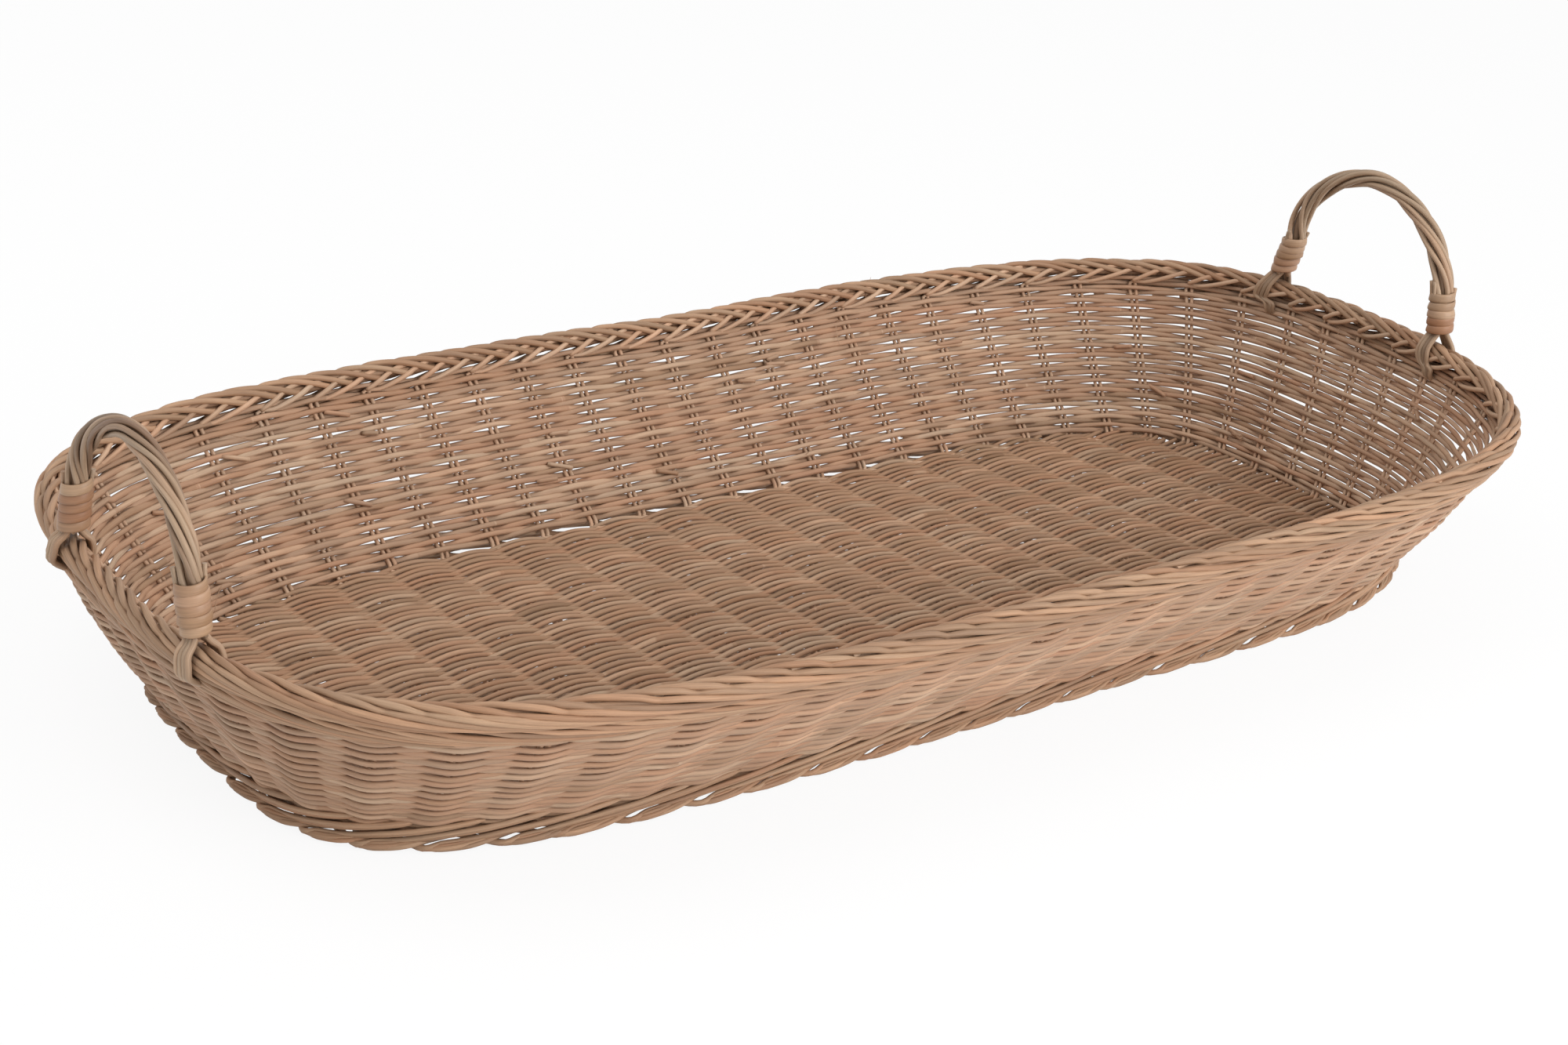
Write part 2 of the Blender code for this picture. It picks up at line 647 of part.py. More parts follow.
def add_binding(name, centre, start, guides, collection, material):
    """Flat cane wound round a tilted leg, in turns that lie side by side."""
    radius = LEG_RADIUS + BINDING_CLEARANCE + BINDING_STRIP_THICKNESS / 2
    count = BINDING_TURNS * POINTS_PER_TURN + 1
    turn = np.arange(count) / POINTS_PER_TURN
    angle = turn * 2 * pi
    first_height = centre[0][2] + start + BINDING_STRIP_WIDTH / 2
    height = first_height + turn * BINDING_PITCH
    foot, top = centre
    share = ((height - foot[2]) / (top[2] - foot[2]))[:, None]
    axis = foot[:2] * (1 - share) + top[:2] * share
    helix = np.stack([axis[:, 0] + radius * np.cos(angle), axis[:, 1] + radius * np.sin(angle), height], axis=1)
    tail = BINDING_STRIP_THICKNESS
    before = helix[0] + unit(helix[0] - helix[1]) * tail
    after = helix[-1] + unit(helix[-1] - helix[-2]) * tail
    print_winding_gap(name, helix)
    half_width, half_thick = BINDING_STRIP_WIDTH / 2, BINDING_STRIP_THICKNESS / 2
    section = [(-half_thick, -half_width), (half_thick, -half_width),
               (half_thick, half_width), (-half_thick, half_width)]
    profile = hide_guide(place(name + "_profile",
                               poly_curve(name + "_profile", section, cyclic=True, flat=True), guides))
    data = poly_curve(name, np.concatenate([[before], helix, [after]]))
    data.bevel_mode = 'OBJECT'
    data.bevel_object = profile
    data.use_fill_caps = True
    data.twist_mode = 'Z_UP'
    strip = curve_as_mesh(place(name, data, collection), collection, material)
    smooth(strip.data, 0.9)


def print_winding_gap(name, helix):
    """Least gap between the edges of turns that lie side by side."""
    half = BINDING_STRIP_WIDTH / 2
    gap = min(np.linalg.norm((helix[after:] - [0, 0, half]) - (helix[:-after] + [0, 0, half]), axis=1).min()
              for after in range(POINTS_PER_TURN // 2, len(helix) - 1))
    state = "clear" if gap > LEAST_WINDING_GAP else "too close"
    print(f"{name}: least gap between turns {gap * 1000:.2f} mm, {state}")


def main():
    clear_scene()
    tray = make_collection("rattan_tray")
    cutters = make_collection("cutters")
    guides = make_collection("guides")
    core_tan = make_material("rattan_core_tan", CORE_TAN, 0.6)
    core_warm = make_material("rattan_core_warm", CORE_WARM, 0.6)
    core_grey = make_material("rattan_core_grey", CORE_GREY, 0.55)
    cane_cream = make_material("flat_cane_cream", CANE_CREAM, 0.45)

    foot = Outline(FOOT_HALF_LENGTH, FOOT_HALF_WIDTH, FOOT_POWERS, (FOOT_SHIFT_X, FOOT_SHIFT_Y))
    rim = Outline(RIM_HALF_LENGTH, RIM_HALF_WIDTH, RIM_POWERS)
    wall = Wall(foot, rim)
    left_frames = foot_frames(rim, -1, LEFT_HANDLE_SHIFT)
    right_frames = foot_frames(rim, 1, RIGHT_HANDLE_SHIFT)
    add_notch_cutters(left_frames + right_frames, cutters)

    add_floor(foot, tray, core_tan)
    tops = stake_tops(wall, [frame[2] for frame in left_frames + right_frames])
    add_sticks(wall, tops, tray, core_tan)
    add_short_sticks(tray, core_tan)
    add_end_stakes(wall, tops, tray, core_tan)
    add_wall_skins(wall, cutters, tray, core_warm)
    add_foot_wale(foot, wall, tray, core_warm)
    add_border(rim, wall, tray, core_warm)

    binding_height = BINDING_TURNS * BINDING_PITCH + BINDING_STRIP_WIDTH
    ends = (("left", left_frames, LEFT_HANDLE_RISE, LEFT_HANDLE_LEAN, LEFT_BINDING_START),
            ("right", right_frames, RIGHT_HANDLE_RISE, RIGHT_HANDLE_LEAN, RIGHT_BINDING_START))
    for side, frames, rise, lean, start in ends:
        points = add_handle(f"handle_{side}", frames, rise, lean, start + binding_height,
                            guides, tray, core_grey)
        leg_tops = (points[LEG_POINTS], points[-LEG_POINTS - 1])
        for where, frame, leg_top in zip(("far", "near"), frames, leg_tops):
            add_binding(f"binding_{side}_{where}", (frame[0], leg_top), start, guides, tray, cane_cream)


main()
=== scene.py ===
from math import pi, radians

import bpy
import numpy as np
from mathutils import Matrix, Vector


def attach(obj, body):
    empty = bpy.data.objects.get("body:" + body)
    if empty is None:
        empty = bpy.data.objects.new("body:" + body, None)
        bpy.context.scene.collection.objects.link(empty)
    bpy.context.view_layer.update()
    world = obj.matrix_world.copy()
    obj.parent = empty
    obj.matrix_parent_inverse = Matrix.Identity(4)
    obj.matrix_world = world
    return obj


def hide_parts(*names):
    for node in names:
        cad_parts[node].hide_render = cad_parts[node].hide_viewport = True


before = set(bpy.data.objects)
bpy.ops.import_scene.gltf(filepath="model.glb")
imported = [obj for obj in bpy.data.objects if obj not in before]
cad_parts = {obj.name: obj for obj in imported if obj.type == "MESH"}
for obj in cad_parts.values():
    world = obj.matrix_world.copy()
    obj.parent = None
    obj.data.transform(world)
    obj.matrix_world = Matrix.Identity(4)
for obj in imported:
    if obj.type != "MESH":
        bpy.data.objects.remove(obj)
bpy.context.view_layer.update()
mm = 0.001
upwards = np.array([0, 0, 1.0])
dice = np.random.default_rng(41)

print("rattan tray: frame loaded")

# The tray's own lines: a rounded oblong at the rim, a smaller one at the foot, a flared wall between
tray = {
    "rimHalfLength": 0.400,
    "rimHalfWidth": 0.199,
    "rimPowers": (4.4, 2.95),
    "rimHeight": 0.0873,
    "rimEndRise": 0.0094,
    "rimRightRise": 0.0060,
    "footHalfLength": 0.363,
    "footHalfWidth": 0.1485,
    "footPowers": (4.5, 3.83),
    "footMiddle": (0.0016, -0.0027),
    "wallInset": 0.0099,       # from the foot's outer edge to the wall's start
    "wallStartHeight": 0.0070,
    "wallBulge": 0.0035,
    "floorHeight": 0.0040,     # middle of the floor sticks
    "bendInset": 0.0147,
    "stepInset": 0.0227,       # here each stick steps half a pitch anticlockwise
    "stickCount": 20,          # sticks that turn up both long walls
    "stickPitch": 0.032695,
    "endStakeCount": 11,       # stakes put in round each end
    # stake numbers, and how far round they stand in shares of half the round
    "footKnots": ((0, 19.5, 25, 31), (-0.3472, 0.3319, 0.5016, 0.6528)),
    "rimKnots": ((3, 17, 24, 29, 34), (-0.2288, 0.2050, 0.4509, 0.5844, 0.7712)),
    # hand-made unevenness: millimetres at stake numbers; wallOut is half way up the wall
    "rimOut": ((0, 26, 27, 28.5, 30, 31, 32, 33, 34, 36, 38, 50, 56, 57.5, 59.5, 61),
               (0, 0, -0.8, -1.5, 0, 2.2, 4.0, 4.2, 3.2, 1.5, 0.3, 0, 0, -1.8, -2.0, 0)),
    "rimUp": ((0, 2, 4, 9, 11, 15, 17, 19, 21, 22, 23.5, 26, 28, 30, 31, 59, 61),
              (1, 1.8, 2.2, 2.2, 0.8, 1.0, -1.0, -1.8, -1.8, 0, 2.2, 2.4, 1.5, 0.4, 0, 0, 0.6)),
    "footOut": ((0, 24, 27, 29, 30, 31, 32, 33, 34, 36, 38, 45, 50, 52, 54, 56, 60),
                (0.3, -0.4, -2.4, -2.6, -2.0, -1.2, 1.8, 4.6, 5.4, 3.8, 1.8, 1.4, 0.6, 0.2, 0.6, 0.8, 0.3)),
    "wallOut": ((0, 54.5, 57, 59.5, 61), (0, 0, 3.4, 3.4, 0.4)),
}
stakeTotal = 2 * (tray["stickCount"] + tray["endStakeCount"])


def outlineTable(halfLength, halfWidth, powers, middle=(0.0, 0.0), samples=6000):
    # |x/a|^p + |y/b|^q = 1, walked clockwise from the middle of the far side, with its length and normals
    angle = pi / 2 - np.linspace(0, 2 * pi, samples + 1)
    across, along = np.sin(angle), np.cos(angle)
    x = halfLength * np.sign(along) * np.abs(along) ** (2 / powers[0])
    y = halfWidth * np.sign(across) * np.abs(across) ** (2 / powers[1])
    length = np.concatenate(([0.0], np.cumsum(np.hypot(np.diff(x), np.diff(y)))))
    even = np.linspace(0, length[-1], samples + 1)
    x, y = np.interp(even, length, x), np.interp(even, length, y)
    reach = 6   # samples to each side, over which a normal is taken
    stepX = np.roll(x[:-1], -reach) - np.roll(x[:-1], reach)
    stepY = np.roll(y[:-1], -reach) - np.roll(y[:-1], reach)
    size = np.hypot(stepX, stepY)
    normalX, normalY = -stepY / size, stepX / size
    return {"length": even, "total": length[-1], "x": x + middle[0], "y": y + middle[1],
            "nx": np.append(normalX, normalX[0]), "ny": np.append(normalY, normalY[0])}


def outlinePoint(outline, length, offset=0.0):
    # point at a length along the outline, moved along the normal: P + offset * N
    where = np.mod(length, outline["total"])
    read = {key: np.interp(where, outline["length"], outline[key]) for key in ("x", "y", "nx", "ny")}
    return np.stack([read["x"] + read["nx"] * offset, read["y"] + read["ny"] * offset], axis=-1)


rimOutline = outlineTable(tray["rimHalfLength"], tray["rimHalfWidth"], tray["rimPowers"])
footOutline = outlineTable(tray["footHalfLength"], tray["footHalfWidth"], tray["footPowers"], tray["footMiddle"])
middleX, middleY = tray["footMiddle"]


def stationTable(knots, outline):
    # length along an outline at each stake: straight lines between knots, which repeat half a round on
    numbers, shares = (np.array(values) for values in knots)
    half = stakeTotal // 2
    rounds = np.arange(-3, 6)[:, None]
    allNumbers, first = np.unique((numbers + rounds * half).ravel(), return_index=True)
    allShares = (shares + rounds).ravel()[first]
    return np.interp(stationNumbers, allNumbers, allShares) * outline["total"] / 2


# a station is a place round the tray, counted in stakes clockwise from the far left stick
stationNumbers = np.arange(-stakeTotal, 2 * stakeTotal)
footTable = stationTable(tray["footKnots"], footOutline)
rimTable = stationTable(tray["rimKnots"], rimOutline)


def around(table, station):
    # value at a station: straight lines between the table's stake numbers, closed round the tray
    return np.interp(station, *table, period=stakeTotal)


def atFoot(station, offset=0.0, height=0.0):
    # point of the foot's outline at a station, moved outwards and up
    away = around(tray["footOut"], station) * mm + offset
    flat = outlinePoint(footOutline, np.interp(np.mod(station, stakeTotal), stationNumbers, footTable), away)
    return np.concatenate([flat, np.zeros(flat.shape[:-1] + (1,)) + np.asarray(height)[..., None]], axis=-1)


def atRim(station, offset=0.0):
    # point of the rim's centre line: its height is a parabola along the tray plus a slope plus the unevenness
    length = np.interp(np.mod(station, stakeTotal), stationNumbers, rimTable)
    flat = outlinePoint(rimOutline, length, around(tray["rimOut"], station) * mm + offset)
    share = outlinePoint(rimOutline, length)[..., :1] / tray["rimHalfLength"]
    height = tray["rimHeight"] + tray["rimEndRise"] * share ** 2 + tray["rimRightRise"] * share
    return np.concatenate([flat, height + around(tray["rimUp"], station)[..., None] * mm], axis=-1)


def unit(vectors):
    # each vector divided by its length
    return vectors / np.linalg.norm(vectors, axis=-1, keepdims=True)


def wallFrame(station, share):
    # low + share * (high - low) + belly * 4 share (1 - share) outwards: the surface in which the stakes stand
    share = np.asarray(share)[..., None]
    small = 0.04
    low, high = atFoot(station, -tray["wallInset"], tray["wallStartHeight"]), atRim(station)
    lowStep = atFoot(station + small, -tray["wallInset"]) - atFoot(station - small, -tray["wallInset"])
    highStep = atRim(station + small) - atRim(station - small)
    rise = high - low
    out = unit(np.cross(rise, lowStep * (1 - share) + highStep * share))
    belly = tray["wallBulge"] + around(tray["wallOut"], station)[..., None] * mm
    return low + rise * share + out * (4 * share * (1 - share) * belly), out, rise


def wallPoint(station, share, outward=0.0):
    # point of the stakes' surface, moved along its normal
    position, out, _ = wallFrame(station, share)
    return position + out * np.asarray(outward)[..., None]


def wallSlant(station):
    # length of the wall from its start to the rim
    low = atFoot(station, -tray["wallInset"], tray["wallStartHeight"])
    return np.linalg.norm(atRim(station) - low, axis=-1)


def belowRim(station, drop, outward=0.0):
    # point on the wall at a distance below the rim's centre line, measured down the wall
    return wallPoint(station, 1 - drop / wallSlant(station), outward)


def borderPoint(station, angle, radius):
    # circle round the rim's centre line, C + r (cos a * out + sin a * up): 0 degrees is outwards and 90 is up
    centre = atRim(station)
    out = unit(atRim(station, 1 * mm) - centre)
    turn = np.radians(angle)
    across, high = np.asarray(np.cos(turn) * radius), np.asarray(np.sin(turn) * radius)
    return centre + across[..., None] * out + upwards * high[..., None]


def smoothThrough(points, perSpan):
    # Catmull-Rom curve through control points (n, k, d): each span is a cubic in its four nearest points
    first, last = 2 * points[:, :1] - points[:, 1:2], 2 * points[:, -1:] - points[:, -2:-1]
    padded = np.concatenate([first, points, last], axis=1)
    count = (points.shape[1] - 1) * perSpan + 1
    where = np.arange(count) / perSpan
    start = np.minimum(where.astype(int), points.shape[1] - 2)
    part = (where - start)[None, :, None]
    a, b, c, d = (padded[:, start + shift] for shift in range(4))
    return 0.5 * (2 * b + (c - a) * part + (2 * a - 5 * b + 4 * c - d) * part ** 2
                  + (3 * b - a - 3 * c + d) * part ** 3)


def wander(shape, knots, size):
    # slow random drift along each row: random knots joined by a raised cosine
    rows, count = shape
    values = dice.normal(0, size, (rows, knots + 1))
    where = np.linspace(0, knots, count, endpoint=False)
    index = where.astype(int)
    blend = (1 - np.cos((where - index) * pi)) / 2
    return values[:, index] * (1 - blend) + values[:, (index + 1) % (knots + 1)] * blend


# Mesh building

def tubeFaces(rods, count, sides, closed):
    # a four-sided face from each ring of points to the next, and one face on each open end
    index = np.arange(rods * count * sides).reshape(rods, count, sides)
    following = np.roll(index, -1, axis=1) if closed else index[:, 1:]
    current = index if closed else index[:, :-1]
    quads = np.stack([current, np.roll(current, -1, axis=2), np.roll(following, -1, axis=2), following], axis=-1)
    caps = None if closed else np.concatenate([index[:, 0, ::-1], index[:, -1]])
    return {"quads": quads.reshape(-1, 4), "caps": caps, "sides": sides}


def rodMesh(paths, radii, reference, sides=6, closed=False, flatten=1.0, tone=None, tipShare=0.0):
    # a ring round each point of a path, P + r (cos f * side + flatten * sin f * up), side square to the reference.
    # Its points keep the rod's tone and their place along and across the rod
    rods, count = paths.shape[:2]
    radii = np.broadcast_to(radii, (rods, count)).copy()
    if tipShare > 0:
        radii[:, [0, -1]] *= tipShare
    onward = np.roll(paths, -1, axis=1) - np.roll(paths, 1, axis=1) if closed else np.gradient(paths, axis=1)
    direction = unit(onward)
    side = unit(np.cross(np.broadcast_to(reference, paths.shape), direction))
    up = np.cross(direction, side)
    angle = np.arange(sides) * 2 * pi / sides
    across = np.cos(angle)[:, None] * radii[..., None, None]
    above = np.sin(angle)[:, None] * radii[..., None, None] * flatten
    rings = paths[:, :, None] + across * side[:, :, None] + above * up[:, :, None]
    steps = np.linalg.norm(np.diff(paths, axis=1), axis=-1)
    run = np.concatenate([np.zeros((rods, 1)), np.cumsum(steps, axis=1)], axis=1)
    run += dice.uniform(0, 9, (rods, 1))
    grain = np.stack(np.broadcast_arrays(run[..., None], across[..., 0], above[..., 0]), axis=-1)
    grain[..., 1:] += dice.uniform(0, 1, (rods, 1, 1, 2))
    tone = dice.uniform(0, 1, (rods, 1)) if tone is None else tone
    tones = np.broadcast_to(tone, (rods, count))[..., None] * np.ones(sides)
    return {"points": rings.reshape(-1, 3), "grain": grain.reshape(-1, 3), "tone": tones.reshape(-1),
            **tubeFaces(rods, count, sides, closed)}


def addObject(name, data):
    # new object at the origin
    item = bpy.data.objects.new(name, data)
    bpy.context.scene.collection.objects.link(item)
    return item


def makePiece(name, meshes, material, replaced):
    # one object from several sets of rods; their ends are flat faces, all else is shaded smooth
    points, grain, tone = (np.concatenate([mesh[key] for mesh in meshes]) for key in ("points", "grain", "tone"))
    corners, sizes, smooth = [], [], []
    offset = 0
    for mesh in meshes:
        for faces, corner, isSmooth in ((mesh["quads"], 4, True), (mesh["caps"], mesh["sides"], False)):
            if faces is not None:
                corners.append((faces + offset).reshape(-1))
                sizes.append(np.full(len(faces), corner))
                smooth.append(np.full(len(faces), isSmooth))
        offset += len(mesh["points"])
    corners, sizes = np.concatenate(corners), np.concatenate(sizes)
    data = bpy.data.meshes.new(name)
    data.vertices.add(len(points))
    data.vertices.foreach_set("co", points.astype(np.float32).reshape(-1))
    data.loops.add(len(corners))
    data.loops.foreach_set("vertex_index", corners.astype(np.int32))
    data.polygons.add(len(sizes))
    data.polygons.foreach_set("loop_start", (np.cumsum(sizes) - sizes).astype(np.int32))
    data.polygons.foreach_set("use_smooth", np.concatenate(smooth))
    data.update(calc_edges=True)
    data.attributes.new("grain", 'FLOAT_VECTOR', 'POINT').data.foreach_set(
        "vector", grain.astype(np.float32).reshape(-1))
    data.attributes.new("tone", 'FLOAT', 'POINT').data.foreach_set("value", tone.astype(np.float32))
    data.materials.append(material)
    piece = addObject(name, data)
    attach(piece, "root")
    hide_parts(*replaced)
    print(f"  {name}: {int((sizes - 2).sum())} triangles")


# Materials

def linearColor(code):
    # sRGB hex to linear: c/12.92 below 0.04045, else ((c+0.055)/1.055)^2.4
    values = [int(code[place:place + 2], 16) / 255 for place in (1, 3, 5)]
    return tuple(v / 12.92 if v <= 0.04045 else ((v + 0.055) / 1.055) ** 2.4 for v in values) + (1.0,)


def addNode(tree, kind, settings=None, links=None):
    # settings name properties, sockets or a ramp's stops; links map inputs to nodes or to their outputs
    node = tree.nodes.new("ShaderNode" + kind)
    for key, value in (settings or {}).items():
        if key == "stops":
            ramp = node.color_ramp.elements
            for stop, (place, code) in zip((ramp[0], ramp[1]), (value[0], value[-1])):
                stop.position, stop.color = place, linearColor(code)
            for place, code in value[1:-1]:
                ramp.new(place).color = linearColor(code)
        elif isinstance(key, str) and hasattr(node, key):
            setattr(node, key, value)
        else:
            node.inputs[key].default_value = value
    for key, source in (links or {}).items():
        tree.links.new(getattr(source, "outputs", [source])[0], node.inputs[key])
    return node


# Patterns in rattan: length, width and depth of a mark in metres, then the noise's detail and roughness
rattanPatterns = {
    "patch": ((0.045, 0.012, 0.012), 2.0, 0.5),          # stretches that have faded more or less
    "vessel": ((0.016, 0.00045, 0.00045), 3.0, 0.6),     # pores, twice as wide as the real 0.2 mm to show
    "tint": ((0.16, 0.4, 0.4), 1.0, 0.5),                # whole rods, and long stretches of them
}
rattanTints = [(0.34, "#eff2f2"), (0.5, "#f7f5f2"), (0.66, "#fdf3ec")]   # leaning to grey or to red


def makeRattan(name, colours, streakDark=0.80, patchShare=0.45, bump=0.35, roughness=0.62, specular=0.3):
    # rattan core or split cane: pale to brown from rod to rod, with long fine vessels along each rod
    material = bpy.data.materials.new(name)
    material.use_nodes = True
    tree = material.node_tree
    tree.nodes.clear()
    grain, tone = (addNode(tree, "Attribute", {"attribute_name": mark}) for mark in ("grain", "tone"))
    noise = {}
    for pattern, (sizes, detail, fineness) in rattanPatterns.items():
        scale = tuple(1 / size for size in sizes)
        place = addNode(tree, "Mapping", {"Scale": scale}, {"Vector": grain.outputs["Vector"]})
        noise[pattern] = addNode(tree, "TexNoise", {"Scale": 1.0, "Detail": detail, "Roughness": fineness},
                                 {"Vector": place})
    mixed = addNode(tree, "Math", {"operation": 'MULTIPLY_ADD', 1: patchShare},
                    {0: noise["patch"], 2: tone.outputs["Fac"]})
    shades = addNode(tree, "ValToRGB", {"stops": colours}, {"Fac": mixed})
    tints = addNode(tree, "ValToRGB", {"stops": rattanTints}, {"Fac": noise["tint"]})
    streak = addNode(tree, "MapRange", {"From Min": 0.3, "From Max": 0.75, "To Min": streakDark, "To Max": 1.06},
                     {"Value": noise["vessel"]})
    colour = shades
    for factor in (tints, streak):
        colour = addNode(tree, "Mix", {"data_type": 'RGBA', "blend_type": 'MULTIPLY', "Factor": 1.0},
                         {6: colour, 7: factor}).outputs[2]
    relief = addNode(tree, "Bump", {"Strength": bump, "Distance": 0.00025}, {"Height": noise["vessel"]})
    shader = addNode(tree, "BsdfPrincipled", {"Roughness": roughness, "Specular IOR Level": specular},
                     {"Base Color": colour, "Normal": relief})
    addNode(tree, "OutputMaterial", {}, {"Surface": shader})
    return material


# Rattan core, peeled and split by machine, unvarnished: matt, with long pores. On the floor its colours are a
# little darker and browner
weftCore = makeRattan("rattanCoreWeft", [
    (0.0, "#876851"), (0.2, "#a48368"), (0.45, "#ba977c"), (0.7, "#b59177"), (0.95, "#ccad92"), (1.0, "#b49075")])
floorCore = makeRattan("rattanCoreFloor", [
    (0.0, "#80614a"), (0.2, "#9c7a5e"), (0.45, "#b28e71"), (0.7, "#ad886c"), (0.95, "#c4a387"), (1.0, "#ab866a")])
# The stakes' colours are painted lighter than the weavers': painted light that makes up for the shade the weavers
# in front cast on them
stakeCore = makeRattan("rattanCoreStake", [
    (0.0, "#ab8a72"), (0.4, "#c8a589"), (0.9, "#d9b89c"), (1.0, "#cba98d")], 0.78, roughness=0.6)
borderCore = makeRattan("rattanCoreBorder", [
    (0.0, "#8a6b55"), (0.35, "#b08c70"), (0.8, "#c29e80"), (1.0, "#ab886c")], 0.74, 0.5, 0.5, 0.58, 0.33)
handleCore = makeRattan("rattanCoreHandle", [
    (0.0, "#836a56"), (0.4, "#a88b72"), (0.9, "#c3a78c"), (1.0, "#bfa389")], 0.68, 0.5, 0.6, 0.5, 0.38)
# Split cane with its skin on: smoother, with a faint gloss
bindingCane = makeRattan("splitCaneBinding", [
    (0.0, "#97684a"), (0.3, "#ab876a"), (0.6, "#bd9c7e"), (0.9, "#b5937a"), (1.0, "#a88668")],
    0.80, 0.35, 0.3, 0.45, 0.42)

# Wall weave

wallWeave = {
    "rows": 35, "firstShare": 0.008, "lastDrop": 6.3 * mm, "perStake": 12, "rodsPerRow": 9,
    "radius": 1.66 * mm, "radiusSpread": (0.94, 1.07), "radiusDrift": (24, 0.09), "flatten": 0.66,
    # each drift has a count of knots round the tray and a size
    "swing": 2.3 * mm, "swingDrift": (stakeTotal, 0.07), "bowPower": 2.1,
    "heightDrift": (45, 0.32 * mm), "heightKick": (stakeTotal, 0.2 * mm),
    "crossingSwell": 0.12,     # how much thicker a weaver is between two stakes
    # shares of the radius and of the swing, at stake numbers
    "fullness": ((0, 17, 20, 24, 27, 31, 34, 37, 46, 50),
                 (0.95, 0.95, 0.91, 0.86, 0.82, 0.81, 0.98, 1.18, 1.18, 1.0)),
    "slackness": ((0, 19, 22, 27, 31, 35, 47, 51, 61),
                  (1.0, 1.0, 0.96, 0.92, 0.92, 0.78, 0.78, 0.92, 1.0)),
}
weaverTone = (0.45, 0.22)      # middle and spread


def weaveWall():
    # row r stands out by swing * c |c|^(p - 1) with c = cos(pi (s + r)): in front of one stake, behind the next.
    # Rows are evenly spaced up the wall, and each swells by 1 + swell * (1 - |c|)
    rows, perStake = wallWeave["rows"], wallWeave["perStake"]
    count = stakeTotal * perStake
    shape = (rows, count)
    station = np.arange(count) / perStake
    slant = wallSlant(station)
    row = np.arange(rows)[:, None]
    lastShare = 1 - wallWeave["lastDrop"] / slant
    share = wallWeave["firstShare"] + (lastShare - wallWeave["firstShare"]) * row / (rows - 1)
    drift = wander(shape, *wallWeave["heightDrift"]) + wander(shape, *wallWeave["heightKick"])
    share = share + drift / slant
    phase = np.cos(pi * (station + row))
    crossing = 1 - np.abs(phase)
    phase = phase * np.abs(phase) ** (wallWeave["bowPower"] - 1)
    slack = around(wallWeave["slackness"], station)
    swing = wallWeave["swing"] * slack * (1 + wander(shape, *wallWeave["swingDrift"]))
    middle, out, _ = wallFrame(np.broadcast_to(station, shape), share)
    path = middle + out * (phase * swing)[..., None]
    swell = 1 + wallWeave["crossingSwell"] * crossing
    return weaverSets(wallWeave, path, out, around(wallWeave["fullness"], station), swell, True)


def weaverSets(kind, path, reference, fullness, swell, closed):
    # even rows and odd rows, as thick as radius * fullness * (1 + drift) * spread * swell. Each row is joined from
    # several rods, so its tone steps at random places
    rows, count = path.shape[:2]
    radius = kind["radius"] * fullness * (1 + wander((rows, count), *kind["radiusDrift"]))
    radius = radius * dice.uniform(*kind["radiusSpread"], (rows, 1)) * swell
    joins = (rows, kind["rodsPerRow"])
    cuts = np.sort(dice.integers(0, count, joins), axis=1)
    index = (np.arange(count)[None, :, None] >= cuts[:, None, :]).sum(axis=2) % joins[1]
    tone = np.take_along_axis(np.clip(dice.normal(*weaverTone, joins), 0, 1), index, axis=1)
    return [rodMesh(path[part::2], radius[part::2], reference[part::2], closed=closed, flatten=kind["flatten"],
                    tone=tone[part::2]) for part in (0, 1)]


# Strays on the wall's inside: ends of rods, left where the next was put in, and thin splinters. Runs are in stakes,
# shares and rises of the wall's height, roots and reaches in millimetres
cutEnd = {"draw": dice.uniform, "count": 34, "points": 7, "run": (0.22, 0.5), "share": (0.1, 0.9), "climb": -1,
          "rise": (-0.02, 0.06), "root": 1.4, "reach": (1.6, 3.2), "power": 0.6, "radius": 1.25 * mm, "sides": 7,
          "tip": 0.0}
fibre = {"draw": dice.normal, "count": 22, "points": 9, "run": (0, 0.45), "share": (0.1, 0.97), "climb": 1,
         "rise": (0, 0.08), "root": 2.6, "reach": (2, 5), "power": 2, "radius": 0.2 * mm, "sides": 4, "tip": 0.3}


def strayRods(kind):
    # t from 0 to 1: start + t * run along the wall, share + t * rise up it and root + reach * t^power inwards
    column, steps, draw = (kind["count"], 1), np.linspace(0, 1, kind["points"]), kind["draw"]
    station = dice.uniform(0, stakeTotal, column) + steps * draw(*kind["run"], column)
    share = dice.uniform(*kind["share"], column) + kind["climb"] * (steps * draw(*kind["rise"], column))
    outward = -(kind["root"] + dice.uniform(*kind["reach"], column) * steps ** kind["power"]) * mm
    return rodMesh(wallPoint(station, share, outward), kind["radius"], upwards, sides=kind["sides"],
                   tipShare=kind["tip"])


print("wall weave")
evenRows, oddRows = weaveWall()
makePiece("wall_weavers_even", [evenRows], weftCore, ["wall_weave_outer"])
makePiece("wall_weavers_odd", [oddRows, strayRods(cutEnd), strayRods(fibre)], weftCore,
          ["wall_weave_inner"])

# Floor weave

floorWeave = {
    "pitch": 2.55 * mm, "edgeInset": 12.5 * mm, "endInset": 9.5 * mm, "curveInset": 8 * mm,
    "spans": 22, "perSpan": 10, "rodsPerRow": 3,
    "radius": 1.44 * mm, "radiusSpread": (0.92, 1.08), "radiusDrift": (12, 0.08), "flatten": 0.86,
    "swing": 2.3 * mm, "swingDrift": (24, 0.08), "sideDrift": (20, 0.25 * mm), "sideKick": (22, 0.16 * mm),
    # last bit of each rod: length, change of length (middle and spread in millimetres), rise and loss of swing
    "last": 10 * mm, "lastCut": (-1.2, 1.3), "lastLift": 1.4 * mm, "lastCalm": 0.4,
}


